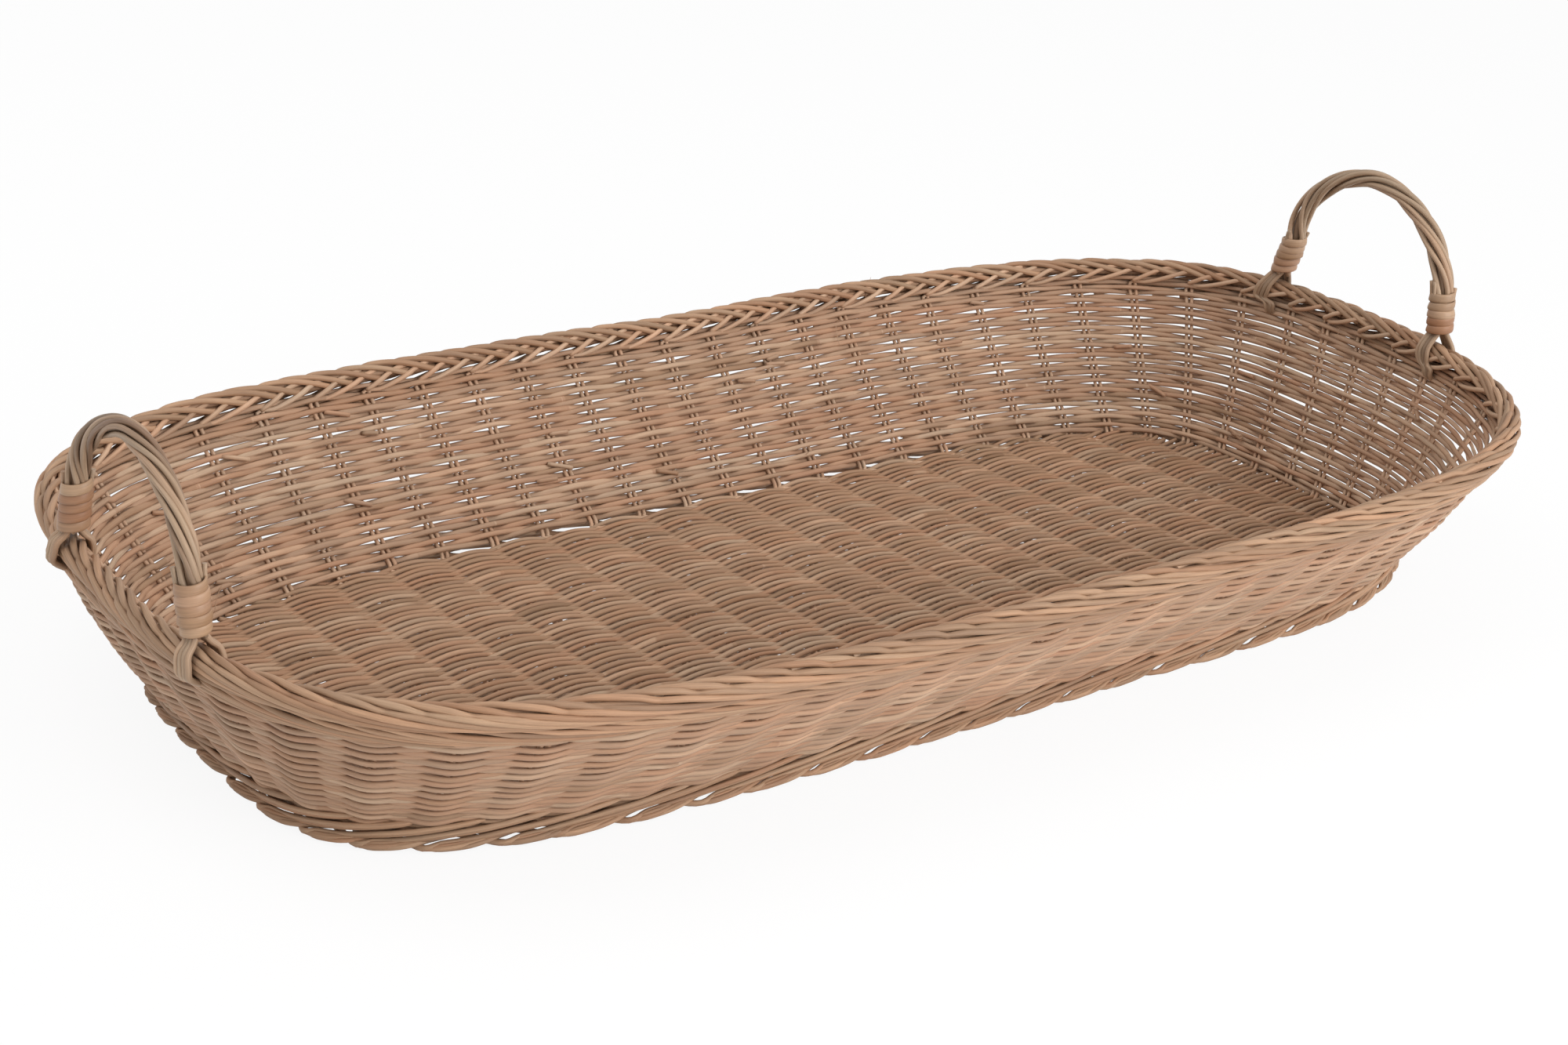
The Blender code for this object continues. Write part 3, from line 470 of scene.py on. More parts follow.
def weaveFloor():
    # row r at y: z = floorHeight + swing * cos(pi (x / pitch + 1/2 + r)), as far as |x| = a (1 - |y/b|^q)^(1/p)
    halfWidth = tray["footHalfWidth"] - floorWeave["edgeInset"]
    halfLength = tray["footHalfLength"] - floorWeave["endInset"]
    rows = int(2 * halfWidth / floorWeave["pitch"])
    y = (np.arange(rows) - (rows - 1) / 2) * floorWeave["pitch"]
    powers = tray["footPowers"]
    curve = 1 - np.abs(y / (tray["footHalfWidth"] - floorWeave["curveInset"])) ** powers[1]
    reach = halfLength * curve ** (1 / powers[0])
    count = floorWeave["spans"] * floorWeave["perSpan"] + 1
    shape = (rows, count)
    x = np.linspace(-1, 1, count) * reach[:, None]
    last = np.clip((np.abs(x) - reach[:, None] + floorWeave["last"]) / floorWeave["last"], 0, 1)
    cut = dice.normal(*floorWeave["lastCut"], (rows, 2)) * mm
    x = x + np.sign(x) * last * np.where(x > 0, cut[:, 1:], cut[:, :1])
    phase = np.cos(pi * (x / tray["stickPitch"] + 0.5 + np.arange(rows)[:, None]))
    swing = floorWeave["swing"] * (1 + wander(shape, *floorWeave["swingDrift"]))
    side = wander(shape, *floorWeave["sideDrift"]) + wander(shape, *floorWeave["sideKick"])
    height = tray["floorHeight"] + swing * phase * (1 - floorWeave["lastCalm"] * last)
    height = height + floorWeave["lastLift"] * last ** 2
    path = np.stack([x + middleX, y[:, None] + middleY + side, height], axis=-1)
    return weaverSets(floorWeave, path, np.broadcast_to(upwards, path.shape), 1.0, 1.0, False)


print("floor weave")
evenFloor, oddFloor = weaveFloor()
makePiece("floor_weavers_even", [evenFloor], floorCore, ["floor_weave_lower"])
makePiece("floor_weavers_odd", [oddFloor], floorCore, ["floor_weave_upper"])

# Stakes: pairs of thin rods

stake = {
    "radius": 1.1 * mm, "topRadius": 1.42 * mm, "pairOffset": 1.6 * mm,
    "taper": (14, 26),         # points from a rod's top between which it grows thinner
    "bendStep": (3 * mm, 0.8 * mm),        # outwards and up
    "floorShares": (0.0, 0.4, 0.8, 0.93, 1.0),
    "wallShares": (0.0, 0.06, 0.2, 0.4, 0.6, 0.8),
    "topDrop": 9 * mm,
    # tops of a pair's later and earlier rod: stakes ahead, degrees round the border and millimetres from its line
    "tops": (((0.26, 231, 8.8), (0.46, 222, 7.9), (0.64, 207, 7.0), (0.81, 189, 6.1), (0.98, 166, 4.5),
              (1.25, 120, 3.0)),
             ((0.06, 226, 8.0), (0.17, 211, 7.2), (0.31, 191, 6.3), (0.48, 167, 4.6), (0.72, 130, 3.2),
              (1.0, 90, 2.8))),
    "shortHalf": 36,           # half a short stick, in millimetres
}


def stakeControls(station, sideOffset, top):
    # from the bend at the floor's edge up the wall, then clockwise inside the border and under its top strands
    bendOut, bendUp = stake["bendStep"]
    sidestep = sideOffset * unit(wallPoint(station + 0.1, 0.5) - wallPoint(station - 0.1, 0.5))
    wall = [atFoot(station, -tray["bendInset"], tray["floorHeight"]),
            atFoot(station, -tray["bendInset"] + bendOut, tray["floorHeight"] + bendUp)]
    wall += [wallPoint(station, share) for share in stake["wallShares"]] + [belowRim(station, stake["topDrop"])]
    end = [borderPoint(station + ahead, angle, radius * mm) for ahead, angle, radius in top]
    return np.concatenate([np.stack(wall, axis=1) + sidestep[:, None], np.stack(end, axis=1)], axis=1)


def floorStickControls(side, offset):
    # straight part of each stick, middle + share * half the floor's width, to where it steps along the edge
    x = middleX + (np.arange(tray["stickCount"]) - (tray["stickCount"] - 1) / 2) * tray["stickPitch"]
    edge = outlinePoint(footOutline, np.linspace(-0.25, 0.25, 3001) * footOutline["total"], -tray["stepInset"])
    reach = np.interp(x, edge[:, 0], edge[:, 1] - middleY)
    height = np.full(x.shape, tray["floorHeight"])
    return np.stack([np.stack([x + offset, middleY + side * share * reach, height], axis=1)
                     for share in stake["floorShares"]], axis=1)


def stakeRods(controls, bothEnds):
    # smooth rods through the controls, thicker at one end or at both
    line = smoothThrough(controls, 4)
    fromEnd = np.arange(line.shape[1])[::-1]
    if bothEnds:
        fromEnd = np.minimum(fromEnd, fromEnd[::-1])
    radius = np.interp(fromEnd, stake["taper"], (stake["topRadius"], stake["radius"]))
    return rodMesh(line, radius, np.array([0.6, 0.4, 0.1]), sides=8)


def makeStakes():
    # the two rods of a pair lie at -offset and +offset of its middle line
    long, short = [], []
    count, endCount = tray["stickCount"], tray["endStakeCount"]
    farSide = np.arange(float(count))
    nearSide = 2 * count + endCount - 1 - farSide
    ends = np.r_[count:count + endCount, 2 * count + endCount:stakeTotal].astype(float)
    for number, sign in enumerate((-1, 1)):
        offset = sign * stake["pairOffset"]
        top, otherTop = stake["tops"][number], stake["tops"][1 - number]
        far, near = stakeControls(farSide, offset, top), stakeControls(nearSide, -offset, otherTop)
        farFloor, nearFloor = floorStickControls(1, offset), floorStickControls(-1, offset)
        long.append(np.concatenate([far[:, ::-1], farFloor[:, :0:-1], nearFloor, near], axis=1))
        controls = stakeControls(ends, offset, top)
        inner = controls[:, :1] + (controls[:, :1] - controls[:, 1:2]) * 2
        inner[..., 2] = tray["floorHeight"]
        short.append(np.concatenate([inner, controls], axis=1))
    longRods = [stakeRods(controls, True) for controls in long]
    shortRods = [stakeRods(controls, False) for controls in short]
    x = middleX + np.array([-1, -1, 1, 1]) * (count + 1) / 2 * tray["stickPitch"]
    x = x + np.array([-1, 1, -1, 1]) * stake["pairOffset"]
    y = middleY + np.linspace(-1, 1, 12) * stake["shortHalf"] * mm
    straight = np.stack(np.broadcast_arrays(x[:, None], y[None], tray["floorHeight"]), axis=-1)
    longRods.append(rodMesh(straight, stake["radius"], upwards, sides=8))
    return longRods, shortRods


print("stakes")
longRods, shortRods = makeStakes()
nodes = sorted(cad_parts)
makePiece("stick_rods", longRods, stakeCore,
          [node for node in nodes if node.startswith(("stick_", "short_stick_"))])
makePiece("end_stake_rods", shortRods, stakeCore,
          [node for node in nodes if node.startswith("end_stake_")])

# Foot: bundles of strands that start under the floor's edge and climb the wall anticlockwise

rope = {
    "rods": 4, "radius": 1.2 * mm, "radiusSpread": (0.9, 1.08), "stationSpread": 0.05, "liftSpread": 0.4,
    "lag": 0.03, "jitter": 0.12,
    # lines of the profile in millimetres: outwards, up and place under the edge; up, outwards and place on the wall
    "underLines": ((-15, 3.2, -12.0), (-8.5, 1.7, -5.5), (-3.4, 1.5, 0.0), (-2.1, 3.0, 2.4)),
    "wallLines": ((7.5, 5.0, 8.0), (12.0, 4.3, 13.5), (18.0, 3.8, 19.5), (25.0, 3.6, 26.5)),
    # stakes passed by a bundle's short and long rods at their control points, and the tuck of their ends
    "passed": ((-0.9, -0.6, -0.35, -0.1, 0.15, 0.4, 0.65, 0.9, 1.1, 1.3, 1.45, 1.6),
               (-0.9, -0.6, -0.35, -0.1, 0.15, 0.4, 0.7, 1.0, 1.35, 1.75, 2.2, 2.65)),
    "tuck": (((-0.9, 0.85, 1.6), (0.0, 0.0, -3.2)), ((-0.9, 1.9, 2.65), (0.0, 0.0, -3.2))),
    # against stakes passed: place, distance between rods, share of the lift, height over the profile
    "climb": ((-0.9, -0.5, -0.25, -0.05, 0.15, 0.4, 0.6, 0.8, 1.0, 1.3, 1.6, 2.2, 2.7),
              (-13, -9, -5, -1.8, -0.1, 0.9, 2.3, 4.2, 6.2, 9.0, 11.6, 15.8, 19.0)),
    "spread": ((-0.9, -0.35, -0.1, 0.1, 0.5, 1.0, 2.7), (0.4, 0.9, 1.6, 2.1, 2.2, 2.1, 1.5)),
    "lifted": ((-0.5, 0.5, 2.7), (0, 0.6, 1.0)),
    "over": ((-0.9, -0.4, 0.2, 0.9, 1.8, 2.65), (0, -0.5, 0.9, 0.4, 0.1, 0)),
}


def footPoint(station, place, outward):
    # low + (high - low) * part between the two lines of the profile beside the place, moved outwards
    lines = [atFoot(station, away * mm, height * mm) for away, height, _ in rope["underLines"]]
    for height, proud, _ in rope["wallLines"]:
        share = (height * mm - tray["wallStartHeight"]) / wallSlant(station)
        lines.append(wallPoint(station, share, proud * mm))
    lines = np.stack(lines, axis=-2)
    places = np.array([line[-1] for line in rope["underLines"] + rope["wallLines"]])
    index = np.clip(np.searchsorted(places, place) - 1, 0, len(places) - 2)
    part = ((place - places[index]) / (places[index + 1] - places[index]))[..., None]
    low, high = (np.take_along_axis(lines, index[..., None, None] + step, axis=-2)[..., 0, :] for step in (0, 1))
    out = unit(atFoot(station, 1 * mm) - atFoot(station))
    return low * (1 - part) + high * part + out * outward[..., None]


def makeFoot():
    # place up the profile = climb + number * spread + lift: down under the edge, lowest at 0, then up the wall
    rods = []
    column = (stakeTotal, 1)
    bundle = np.arange(stakeTotal)[:, None] + dice.normal(0, rope["stationSpread"], column)
    lift = dice.normal(0, rope["liftSpread"], column)
    for number in range(rope["rods"]):
        isLong = number >= rope["rods"] // 2
        passed = np.array(rope["passed"][isLong])
        place = np.interp(passed, *rope["climb"]) + number * np.interp(passed, *rope["spread"])
        place = place + lift * np.interp(passed, *rope["lifted"])
        tuck = np.interp(passed, *rope["tuck"][isLong]) * mm
        over = np.interp(passed, *rope["over"]) * mm
        jitter = dice.normal(0, rope["jitter"], column) * mm
        station = np.mod(bundle - passed - number * rope["lag"], stakeTotal)
        controls = footPoint(station, place, tuck + over + jitter)
        radius = rope["radius"] * dice.uniform(*rope["radiusSpread"], column)
        rods.append(rodMesh(smoothThrough(controls, 3), radius, np.array([0.05, 0.03, 1.0]), sides=7, tipShare=0.6))
    return rods


print("foot")
makePiece("foot_strands", makeFoot(), borderCore, ["foot_wale"])

# Border: strands that climb the outside clockwise, roll over the top and end inside

border = {
    "ring": 5.25, "dip": 3.1, "shifts": (0.0, 0.5), "shiftSpread": 0.05, "proud": (-0.1, 0.2), "tiltSpread": 4,
    "lowAngle": -68, "highAngle": 206, "radiusSpread": (0.88, 1.0),
    # radius in millimetres along each strand
    "thickness": ((0, 0.2, 0.45, 0.55, 0.9, 1), (1.25, 1.36, 1.5, 1.66, 1.72, 1.5)),
    # at stake numbers: how much paler the strands are, and the angle of the notch line
    "paleness": ((0, 19, 23, 30, 34, 61), (0, 0, 0.2, 0.2, 0.05, 0)),
    "notch": ((0, 18, 22, 25, 30, 34, 44, 50, 58, 62), (52, 52, 76, 92, 92, 62, 44, 40, 46, 52)),
    "coreRadius": 1.9 * mm, "coreLay": 2.1 * mm, "coreTurns": 9, "corePerStake": 6,
}


def makeBorder():
    # each rod climbs the outside, dips at the notch line, lies over the top and ends inside; its angle is
    # low + (notch - low) * share outside and notch + (high - notch) * share inside
    rods = []
    start = np.arange(stakeTotal)
    ring, dip, low, high = (border[key] for key in ("ring", "dip", "lowAngle", "highAngle"))
    # stakes ahead, then millimetres down and outwards, or the share of the angle and the radius
    sweep = [(-3.7, 16.4, 0.8), (-3.25, 14.0, 2.9), (-2.6, 10.8, 4.1), (-2.0, 8.2, 4.5), (-1.5, 5.9, 4.6)]
    outside = [(-1.05, 0.0, ring), (-0.6, 0.22, ring), (-0.15, 0.44, ring), (0.3, 0.66, ring),
               (0.62, 0.84, ring - 0.1), (0.82, 0.92, ring - 1.0)]
    inside = [(0.94, 0.0, dip), (1.04, 0.05, dip + 0.9), (1.18, 0.13, ring - 0.1), (1.42, 0.25, ring),
              (1.68, 0.42, ring), (1.92, 0.60, ring), (2.12, 0.76, ring - 0.1), (2.28, 0.89, ring - 0.5),
              (2.40, 0.98, ring - 1.5)]
    for shift in border["shifts"]:
        shift = shift + dice.normal(0, border["shiftSpread"], stakeTotal)
        proud = np.minimum(dice.normal(*border["proud"], stakeTotal), 0.0) * mm
        tilt = dice.normal(0, border["tiltSpread"], stakeTotal)
        controls = [belowRim(np.mod(start + ahead + shift, stakeTotal), drop * mm, outward * mm + proud)
                    for ahead, drop, outward in sweep]
        for isOutside, table in ((True, outside), (False, inside)):
            for ahead, share, radius in table:
                station = np.mod(start + ahead + shift, stakeTotal)
                notch = np.interp(station, *border["notch"]) + tilt
                angle = low + (notch - low) * share if isOutside else notch + (high - notch) * share
                controls.append(borderPoint(station, angle, radius * mm + proud))
        line = smoothThrough(np.stack(controls, axis=1), 3)
        thick = np.interp(np.linspace(0, 1, line.shape[1]), *border["thickness"]) * mm
        radius = thick * dice.uniform(*border["radiusSpread"], (stakeTotal, 1))
        tone = dice.uniform(0, 1, (stakeTotal, 1)) + around(border["paleness"], start[:, None])
        rods.append(rodMesh(line, radius, np.array([0.03, 0.05, 1.0]), sides=8, tone=tone, tipShare=0.6))
    # three rods that twist under the strands and fill the border; they take the darkest tone, painted shade for the
    # deep gaps between the strands
    station = np.arange(stakeTotal * border["corePerStake"]) / border["corePerStake"]
    turn = np.array([[0], [120], [240]]) + station * 360 / stakeTotal * border["coreTurns"]
    lay = borderPoint(np.broadcast_to(station, turn.shape), turn, border["coreLay"])
    rods.append(rodMesh(lay, border["coreRadius"], upwards, sides=8, closed=True, tone=0.0))
    return rods


print("border")
makePiece("border_strands", makeBorder(), borderCore, ["rim_border"])

# Handles: a twisted bundle of rods; below the bindings they part and hook round the border into the wall

handles = {
    "left": {"side": -1, "feet": (0.0492, -0.0776), "legTilts": (-0.0070, 0.0058), "rise": 0.0775, "lean": 0.0009,
             "skew": 0.0, "archPower": 1.75, "bindingStart": 0.0094, "bindingRadius": 6.2 * mm,
             "caneShades": (0.4, 0.0), "hookBow": 0.6, "rods": 8, "rodRadius": 1.36 * mm, "legRadius": 4.0 * mm,
             "topRadius": 3.95 * mm, "lay": 0.105, "tones": (-0.3, 0.6)},
    "right": {"side": 1, "feet": (0.0662, -0.0655), "legTilts": (-0.0111, 0.0055), "rise": 0.0882, "lean": 0.0,
              "skew": -0.0033, "archPower": 1.82, "bindingStart": 0.0120, "bindingRadius": 6.8 * mm,
              "caneShades": (0.1, 0.25), "hookBow": 3.6, "rods": 7, "rodRadius": 1.66 * mm, "legRadius": 4.7 * mm,
              "topRadius": 3.9 * mm, "lay": 0.125, "tones": (0.45, 1.0)},
}
handle = {
    "bindingHeight": 26.5 * mm, "coreRadius": 2.6 * mm,
    "narrowing": (45 * mm, 78 * mm),       # from a rod's end, where the bundle grows thinner
    "ringDrift": (9, 0.045), "turnDrift": (7, 0.20), "rodDrift": (8, 0.05),
    "endRadius": 1.15 * mm, "endTurns": (2.6, 3.4, 5.6), "endReach": (2.0, 5.5), "endRoot": 6 * mm,
    "hookRadius": 1.36 * mm, "hookLanes": 4, "hookPitch": 2.3 * mm, "hookShare": 0.9,
    # at the hook's first six points: shares of the lanes' distance, and of the bow
    "hookPinch": ((0, 2, 4, 5), (0.7, 0.85, 1.15, 1.05)),
    "hookBows": (0, 0.15, 0.55, 1.0, 1.1, 0.9),
    # ends in the wall: millimetres down and out, and the share of the lanes' distance
    "hookEnds": ((9.5, 4.4, 0.9), (12.5, 2.2, 0.7), (14.5, -1.0, 0.6)),
}


def handleFeet(facts):
    # rim points at the two feet, far one first, where the outline's y has the feet's values, and the legs' tops:
    # centre + tilt, above the bindings
    lengths = np.linspace(0, rimOutline["total"] / 2, 8000)
    y = outlinePoint(rimOutline, lengths)[:, 1]
    both = np.interp(-np.array(facts["feet"]), -y, lengths)
    both = both if facts["side"] > 0 else rimOutline["total"] - both
    stations = np.interp(both, rimTable, stationNumbers)
    centre = atRim(stations)
    out = unit(atRim(stations, 1 * mm) - centre)
    centre[:, 2] -= around(tray["rimUp"], stations) * mm / 2
    tops = centre + np.outer(facts["legTilts"], (0, 1, 0))
    tops[:, 0] = centre[:, 0].mean()
    tops[:, 2] = centre[:, 2].mean() + facts["bindingStart"] + handle["bindingHeight"]
    return centre, out, stations, tops


def handleAxis(facts):
    # arch |y/half|^n + |z/height|^n = 1 above two leaning legs; lean and skew move its top inwards and sideways
    centre, _, _, tops = handleFeet(facts)
    half = (tops[0, 1] - tops[1, 1]) / 2
    base = centre[:, 2].mean()
    height = base + facts["rise"] - tops[0, 2]
    angle = np.linspace(0, pi, 61)
    power = 2 / facts["archPower"]
    climb = np.abs(np.sin(angle)) ** power
    y = tops[:, 1].mean() + half * np.sign(np.cos(angle)) * np.abs(np.cos(angle)) ** power
    y = y - facts["skew"] * climb ** 0.6
    x = tops[0, 0] - facts["side"] * facts["lean"] * climb ** 2
    arch = np.stack([x, y, tops[0, 2] + height * climb], axis=1)
    start = (facts["bindingStart"] + 1 * mm) / (facts["bindingStart"] + handle["bindingHeight"])
    shares = np.linspace(start, 1, 8, endpoint=False)[:, None]
    foot = np.concatenate([centre[:, :2], [[base], [base]]], axis=1)
    legs = [foot[end] + (tops[end] - foot[end]) * shares for end in (0, 1)]
    line = np.concatenate([legs[0], arch, legs[1][::-1]])
    run = np.concatenate(([0.0], np.cumsum(np.linalg.norm(np.diff(line, axis=0), axis=1))))
    even = np.linspace(0, run[-1], 130)
    return np.stack([np.interp(even, run, line[:, axis]) for axis in range(3)], axis=1), even


def makeHandle(facts):
    # rods round a core: P + ring * (cos t * side + sin t * up), with t = 2 pi (number / rods - length / lay)
    line, run = handleAxis(facts)
    direction = unit(np.gradient(line, axis=0))
    flat = np.array([1.0, 0, 0])
    side = unit(np.cross(np.broadcast_to(flat, line.shape), direction))
    up = np.cross(direction, side)
    rods = facts["rods"]
    shape = (rods, len(run))
    ring = np.interp(np.minimum(run, run[-1] - run), handle["narrowing"], (facts["legRadius"], facts["topRadius"]))
    ring = ring * (1 + wander(shape, *handle["ringDrift"]))
    turn = -run / facts["lay"] * 2 * pi + np.arange(rods)[:, None] * 2 * pi / rods
    turn = turn + wander(shape, *handle["turnDrift"])
    path = line + (np.cos(turn) * ring)[..., None] * side + (np.sin(turn) * ring)[..., None] * up
    radius = facts["rodRadius"] * (1 + wander(shape, *handle["rodDrift"])) * dice.uniform(0.88, 1.04, (rods, 1))
    meshes = [rodMesh(path, radius, flat, sides=9, tone=dice.uniform(*facts["tones"], (rods, 1)), tipShare=0.6),
              rodMesh(line[None], handle["coreRadius"], flat, sides=8, tone=0.1)]
    for centre, out, station, top in zip(*handleFeet(facts)):
        meshes += footHooks(centre, top, out, station, facts)
        meshes.append(rodEnds(centre, top, out, facts["bindingRadius"]))
    return meshes


def rodEnds(foot, top, out, bindingRadius):
    # cut ends of three rods that stick out of the binding's upper edge, close to the leg: top + climb * lift
    climb = (top - foot) / (top[2] - foot[2])
    count = len(handle["endTurns"])
    turn = np.arctan2(out[1], out[0]) + np.array(handle["endTurns"]) + dice.normal(0, 0.2, count)
    outward = np.stack([np.cos(turn), np.sin(turn), np.zeros(count)], axis=1)
    reach = dice.uniform(*handle["endReach"], count) * mm
    steps = np.linspace(0, 1, 6)
    lift = steps * (reach[:, None] + handle["endRoot"]) - handle["endRoot"]
    away = bindingRadius - 0.5 * mm + 0.7 * mm * steps ** 2
    path = top + climb * lift[..., None] + outward[:, None] * away[:, None]
    return rodMesh(path, handle["endRadius"], np.array([0.3, 0.2, 0.1]), sides=8)


def footHooks(centre, top, out, station, facts):
    # rods from the binding's lower edge round the border's inside and outside into the wall:
    # centre + across * out + height * climb + lane * along; the inner ones bow sideways on their way
    along = np.cross(upwards, out)
    climb = (top - centre) / (top[2] - centre[2])
    lanes = handle["hookLanes"]
    lane = ((np.arange(lanes) - (lanes - 1) / 2) * handle["hookPitch"])[:, None]
    start = facts["bindingStart"]
    meshes = []
    wallOut, wallUp = (value[0] for value in wallFrame(np.array([station]), np.array([handle["hookShare"]]))[1:])
    wallUp = wallUp / np.linalg.norm(wallUp)
    table = [(1.2, start + 8 * mm), (2.2, start + 3 * mm), (4.4, start - 1 * mm), (7.6, 5.2 * mm), (8.6, 0.5 * mm),
             (8.2, -4.5 * mm)]
    for side in (-1, 1):
        controls = []
        for index, (across, height) in enumerate(table):
            pinch = np.interp(index, *handle["hookPinch"])
            bow = handle["hookBows"][index] * facts["hookBow"] * (side < 0) * mm
            controls.append(centre + out * side * across * mm + climb * height + along * (lane * pinch + bow))
        for drop, outward, pinch in handle["hookEnds"]:
            controls.append(centre - wallUp * drop * mm + wallOut * (outward * side) * mm + along * lane * pinch)
        controls = np.stack(controls, axis=1) + dice.normal(0, 0.2, (lanes, 1, 3)) * mm
        radius = handle["hookRadius"] * dice.uniform(0.95, 1.1, (lanes, 1))
        meshes.append(rodMesh(smoothThrough(controls, 4), radius, along, sides=9, tipShare=0.6))
    return meshes


print("handles")
for side, facts in handles.items():
    makePiece(f"handle_rods_{side}", makeHandle(facts), handleCore, [f"handle_{side}"])

# Bindings: flat cane wound round each leg

binding = {
    "turns": 5, "pitch": 4.5 * mm, "width": 5.2 * mm, "thickness": 1.1 * mm, "perTurn": 40, "startAngle": 0.6,
    "taper": ((0, 1.5, 4, 5), (-0.4, 0.1, 0.0, -0.5)),     # millimetres off the radius against turns
    "swell": 0.2 * mm, "riseDrift": 0.3 * mm, "tip": -0.12, "tipDrift": 0.08,
    # the strip's section, a shallow lens, in shares of its width and thickness
    "section": ((-0.42, -0.42), (0.42, -0.42), (0.5, -0.15), (0.42, 0.28), (0.2, 0.48), (-0.2, 0.48), (-0.42, 0.28),
                (-0.5, -0.15)),
    "tone": (0.5, 0.32), "toneTurns": (0, 0.95, 1.05, 2.0, 2.1, 3.9, 4.0, 5),
    "toneLevels": (0, 0, 1, 1, 2, 3, 4, 5),
}


def makeBinding(foot, top, start, inner, shade):
    # strip wound round a leaning leg: axis + radius * (cos a, sin a), rising by the pitch in each turn
    count = int(binding["turns"] * binding["perTurn"]) + 1
    turn = np.arange(count) / binding["perTurn"]
    slow = wander((1, count), 2 * binding["turns"], 1.0)[0]
    radius = inner + binding["thickness"] / 2 + np.interp(turn, *binding["taper"]) * mm + binding["swell"] * slow
    rise = start + binding["width"] / 2 + turn * binding["pitch"]
    rise = rise + binding["riseDrift"] * wander((1, count), 7, 1.0)[0]
    axis = foot + (top - foot) * (rise / (top[2] - foot[2]))[:, None]
    angle = turn * 2 * pi + binding["startAngle"]
    outward = np.stack([np.cos(angle), np.sin(angle), np.zeros(count)], axis=1)
    base = axis + radius[:, None] * outward
    tip = binding["tip"] + binding["tipDrift"] * wander((1, count), 9, 1.0)[0]
    upward = upwards * np.cos(tip)[:, None] + outward * np.sin(tip)[:, None]
    section = np.array(binding["section"])
    points = (base[:, None] + section[None, :, :1] * binding["width"] * upward[:, None]
              + section[None, :, 1:] * binding["thickness"] * outward[:, None])
    run = turn * 2 * pi * inner + dice.uniform(0, 5)
    across = section[None, :, 0] * binding["width"]
    grain = np.stack(np.broadcast_arrays(run[:, None], across, dice.uniform(0, 1)), axis=-1)
    levels = np.clip(dice.normal(*binding["tone"], 7) - shade, 0, 1)
    tone = np.interp(turn, binding["toneTurns"], levels[list(binding["toneLevels"])])
    return {"points": points.reshape(-1, 3), "grain": grain.reshape(-1, 3), "tone": np.repeat(tone, len(section)),
            **tubeFaces(1, count, len(section), False)}


print("bindings")
for side, facts in handles.items():
    for foot, _, _, top, where, shade in zip(*handleFeet(facts), ("far", "near"), facts["caneShades"]):
        cane = makeBinding(foot, top, facts["bindingStart"], facts["bindingRadius"], shade)
        leg = f"{side}_{where}"
        makePiece(f"binding_cane_{leg}", [cane], bindingCane, [f"binding_{leg}"])

# Stage: a pale floor that looks nearly white to the camera and keeps a soft shadow

stage = {"floor": "#fbfbfb", "roughness": 0.9, "white": "#ffffff", "whiteShare": 0.9, "half": 6.0,
         "height": -0.0006, "light": 0.62}


def seenDirectly(tree):
    # 1 for rays from the camera, mirrors and glass, and 0 for all others: the greatest of the three marks
    rays = addNode(tree, "LightPath")
    seen = rays.outputs["Is Camera Ray"]
    for mark in ("Is Glossy Ray", "Is Transmission Ray"):
        seen = addNode(tree, "Math", {"operation": 'MAXIMUM'}, {0: seen, 1: rays.outputs[mark]})
    return seen


def makeStage():
    # matt pale floor; rays seen directly get nine parts of plain white to one of the lit floor
    material = bpy.data.materials.new("paleFloor")
    material.use_nodes = True
    tree = material.node_tree
    tree.nodes.clear()
    shader = addNode(tree, "BsdfPrincipled", {"Base Color": linearColor(stage["floor"]),
                                                        "Roughness": stage["roughness"], "Specular IOR Level": 0.0})
    share = addNode(tree, "Math", {"operation": 'MULTIPLY', 1: stage["whiteShare"]},
                    {0: seenDirectly(tree)})
    white = addNode(tree, "Emission", {"Color": linearColor(stage["white"]), "Strength": 1.0})
    mixed = addNode(tree, "MixShader", {}, {0: share, 1: shader, 2: white})
    addNode(tree, "OutputMaterial", {}, {"Surface": mixed})
    half = stage["half"]
    data = bpy.data.meshes.new("paleFloor")
    data.from_pydata([(-half, -half, 0), (half, -half, 0), (half, half, 0), (-half, half, 0)], [], [(0, 1, 2, 3)])
    data.materials.append(material)
    floor = addObject("paleFloor", data)
    floor.location.z = stage["height"]


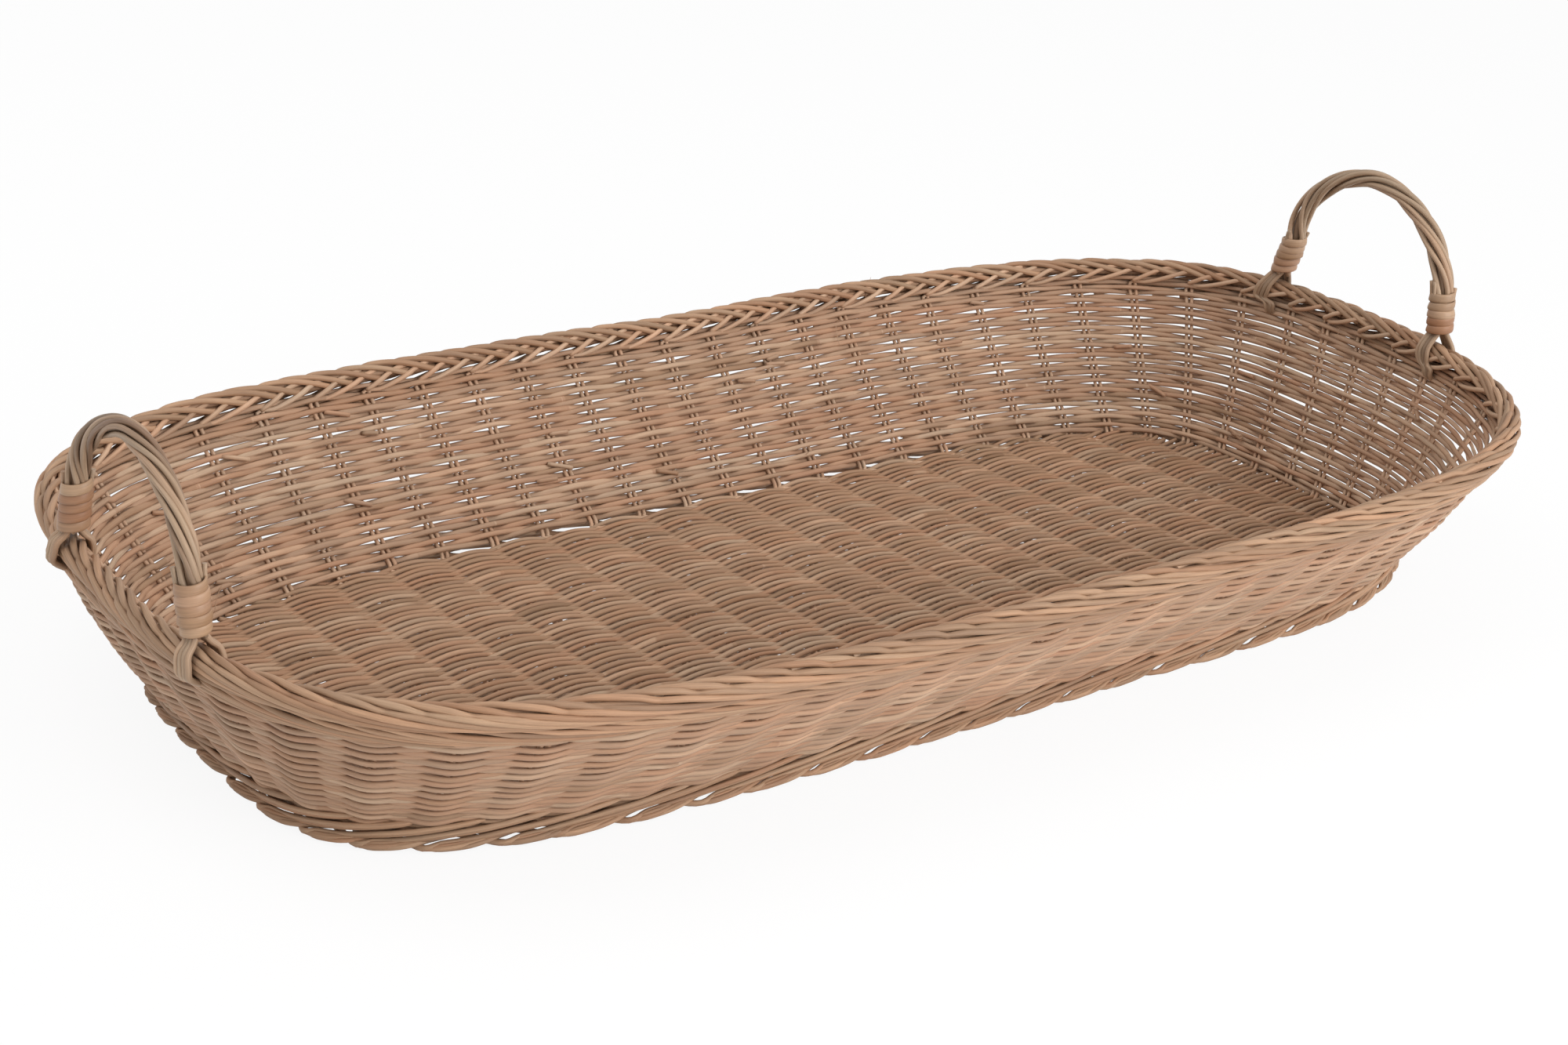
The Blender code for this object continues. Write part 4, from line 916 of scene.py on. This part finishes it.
def makeWorld():
    # soft surroundings: grey light for the object, plain white where they are seen directly
    world = bpy.data.worlds.new("softStudio")
    bpy.context.scene.world = world
    world.use_nodes = True
    tree = world.node_tree
    tree.nodes.clear()
    colour = linearColor(stage["white"])
    light, white = (addNode(tree, "Background", {"Color": colour, "Strength": power})
                    for power in (stage["light"], 1.0))
    choose = addNode(tree, "MixShader", {}, {0: seenDirectly(tree), 1: light, 2: white})
    addNode(tree, "OutputWorld", {}, {"Surface": choose})


def addLamp(name, position, target, size, power):
    # square softbox, metres and watts, with its -Z towards the target
    data = bpy.data.lights.new(name, 'AREA')
    data.shape = 'SQUARE'
    data.size = size
    data.energy = power
    lamp = addObject(name, data)
    lamp.location = position
    lamp.rotation_euler = (Vector(target) - Vector(position)).to_track_quat('-Z', 'Y').to_euler()


print("stage, light and camera")
makeStage()
makeWorld()
addLamp("keySoftbox", (0.7, -2.2, 1.1), (0, 0, 0.05), 1.8, 46)
addLamp("topSoftbox", (-0.9, 0.3, 2.1), (0, 0, 0.05), 1.6, 14)

# degrees, metres, and the lens in millimetres on a 36 mm sensor
camera = {"azimuth": -38.82, "elevation": 22.90, "distance": 1.3197, "target": (-0.02286, 0.01413, 0.045),
          "roll": 4.93, "lens": 57.69, "sensor": 36.0, "clipEnd": 50}


def addCamera():
    # target + distance * back, with back = (sin a cos e, -cos a cos e, sin e), rolled about back
    azimuth, elevation, roll = (radians(camera[key]) for key in ("azimuth", "elevation", "roll"))
    back = np.array([np.sin(azimuth) * np.cos(elevation), -np.cos(azimuth) * np.cos(elevation), np.sin(elevation)])
    right = unit(np.cross(-back, upwards))
    up = np.cross(right, -back)
    turnedRight = np.cos(roll) * right + np.sin(roll) * up
    turnedUp = -np.sin(roll) * right + np.cos(roll) * up
    data = bpy.data.cameras.new("camera")
    data.lens = camera["lens"]
    data.sensor_width = camera["sensor"]
    data.clip_end = camera["clipEnd"]
    item = addObject("camera", data)
    turn = Matrix([list(row) for row in np.stack([turnedRight, turnedUp, back], axis=1)]).to_4x4()
    item.matrix_world = Matrix.Translation(Vector(np.array(camera["target"]) + back * camera["distance"])) @ turn
    bpy.context.scene.camera = item


addCamera()
bpy.context.scene.view_settings.view_transform = "Standard"
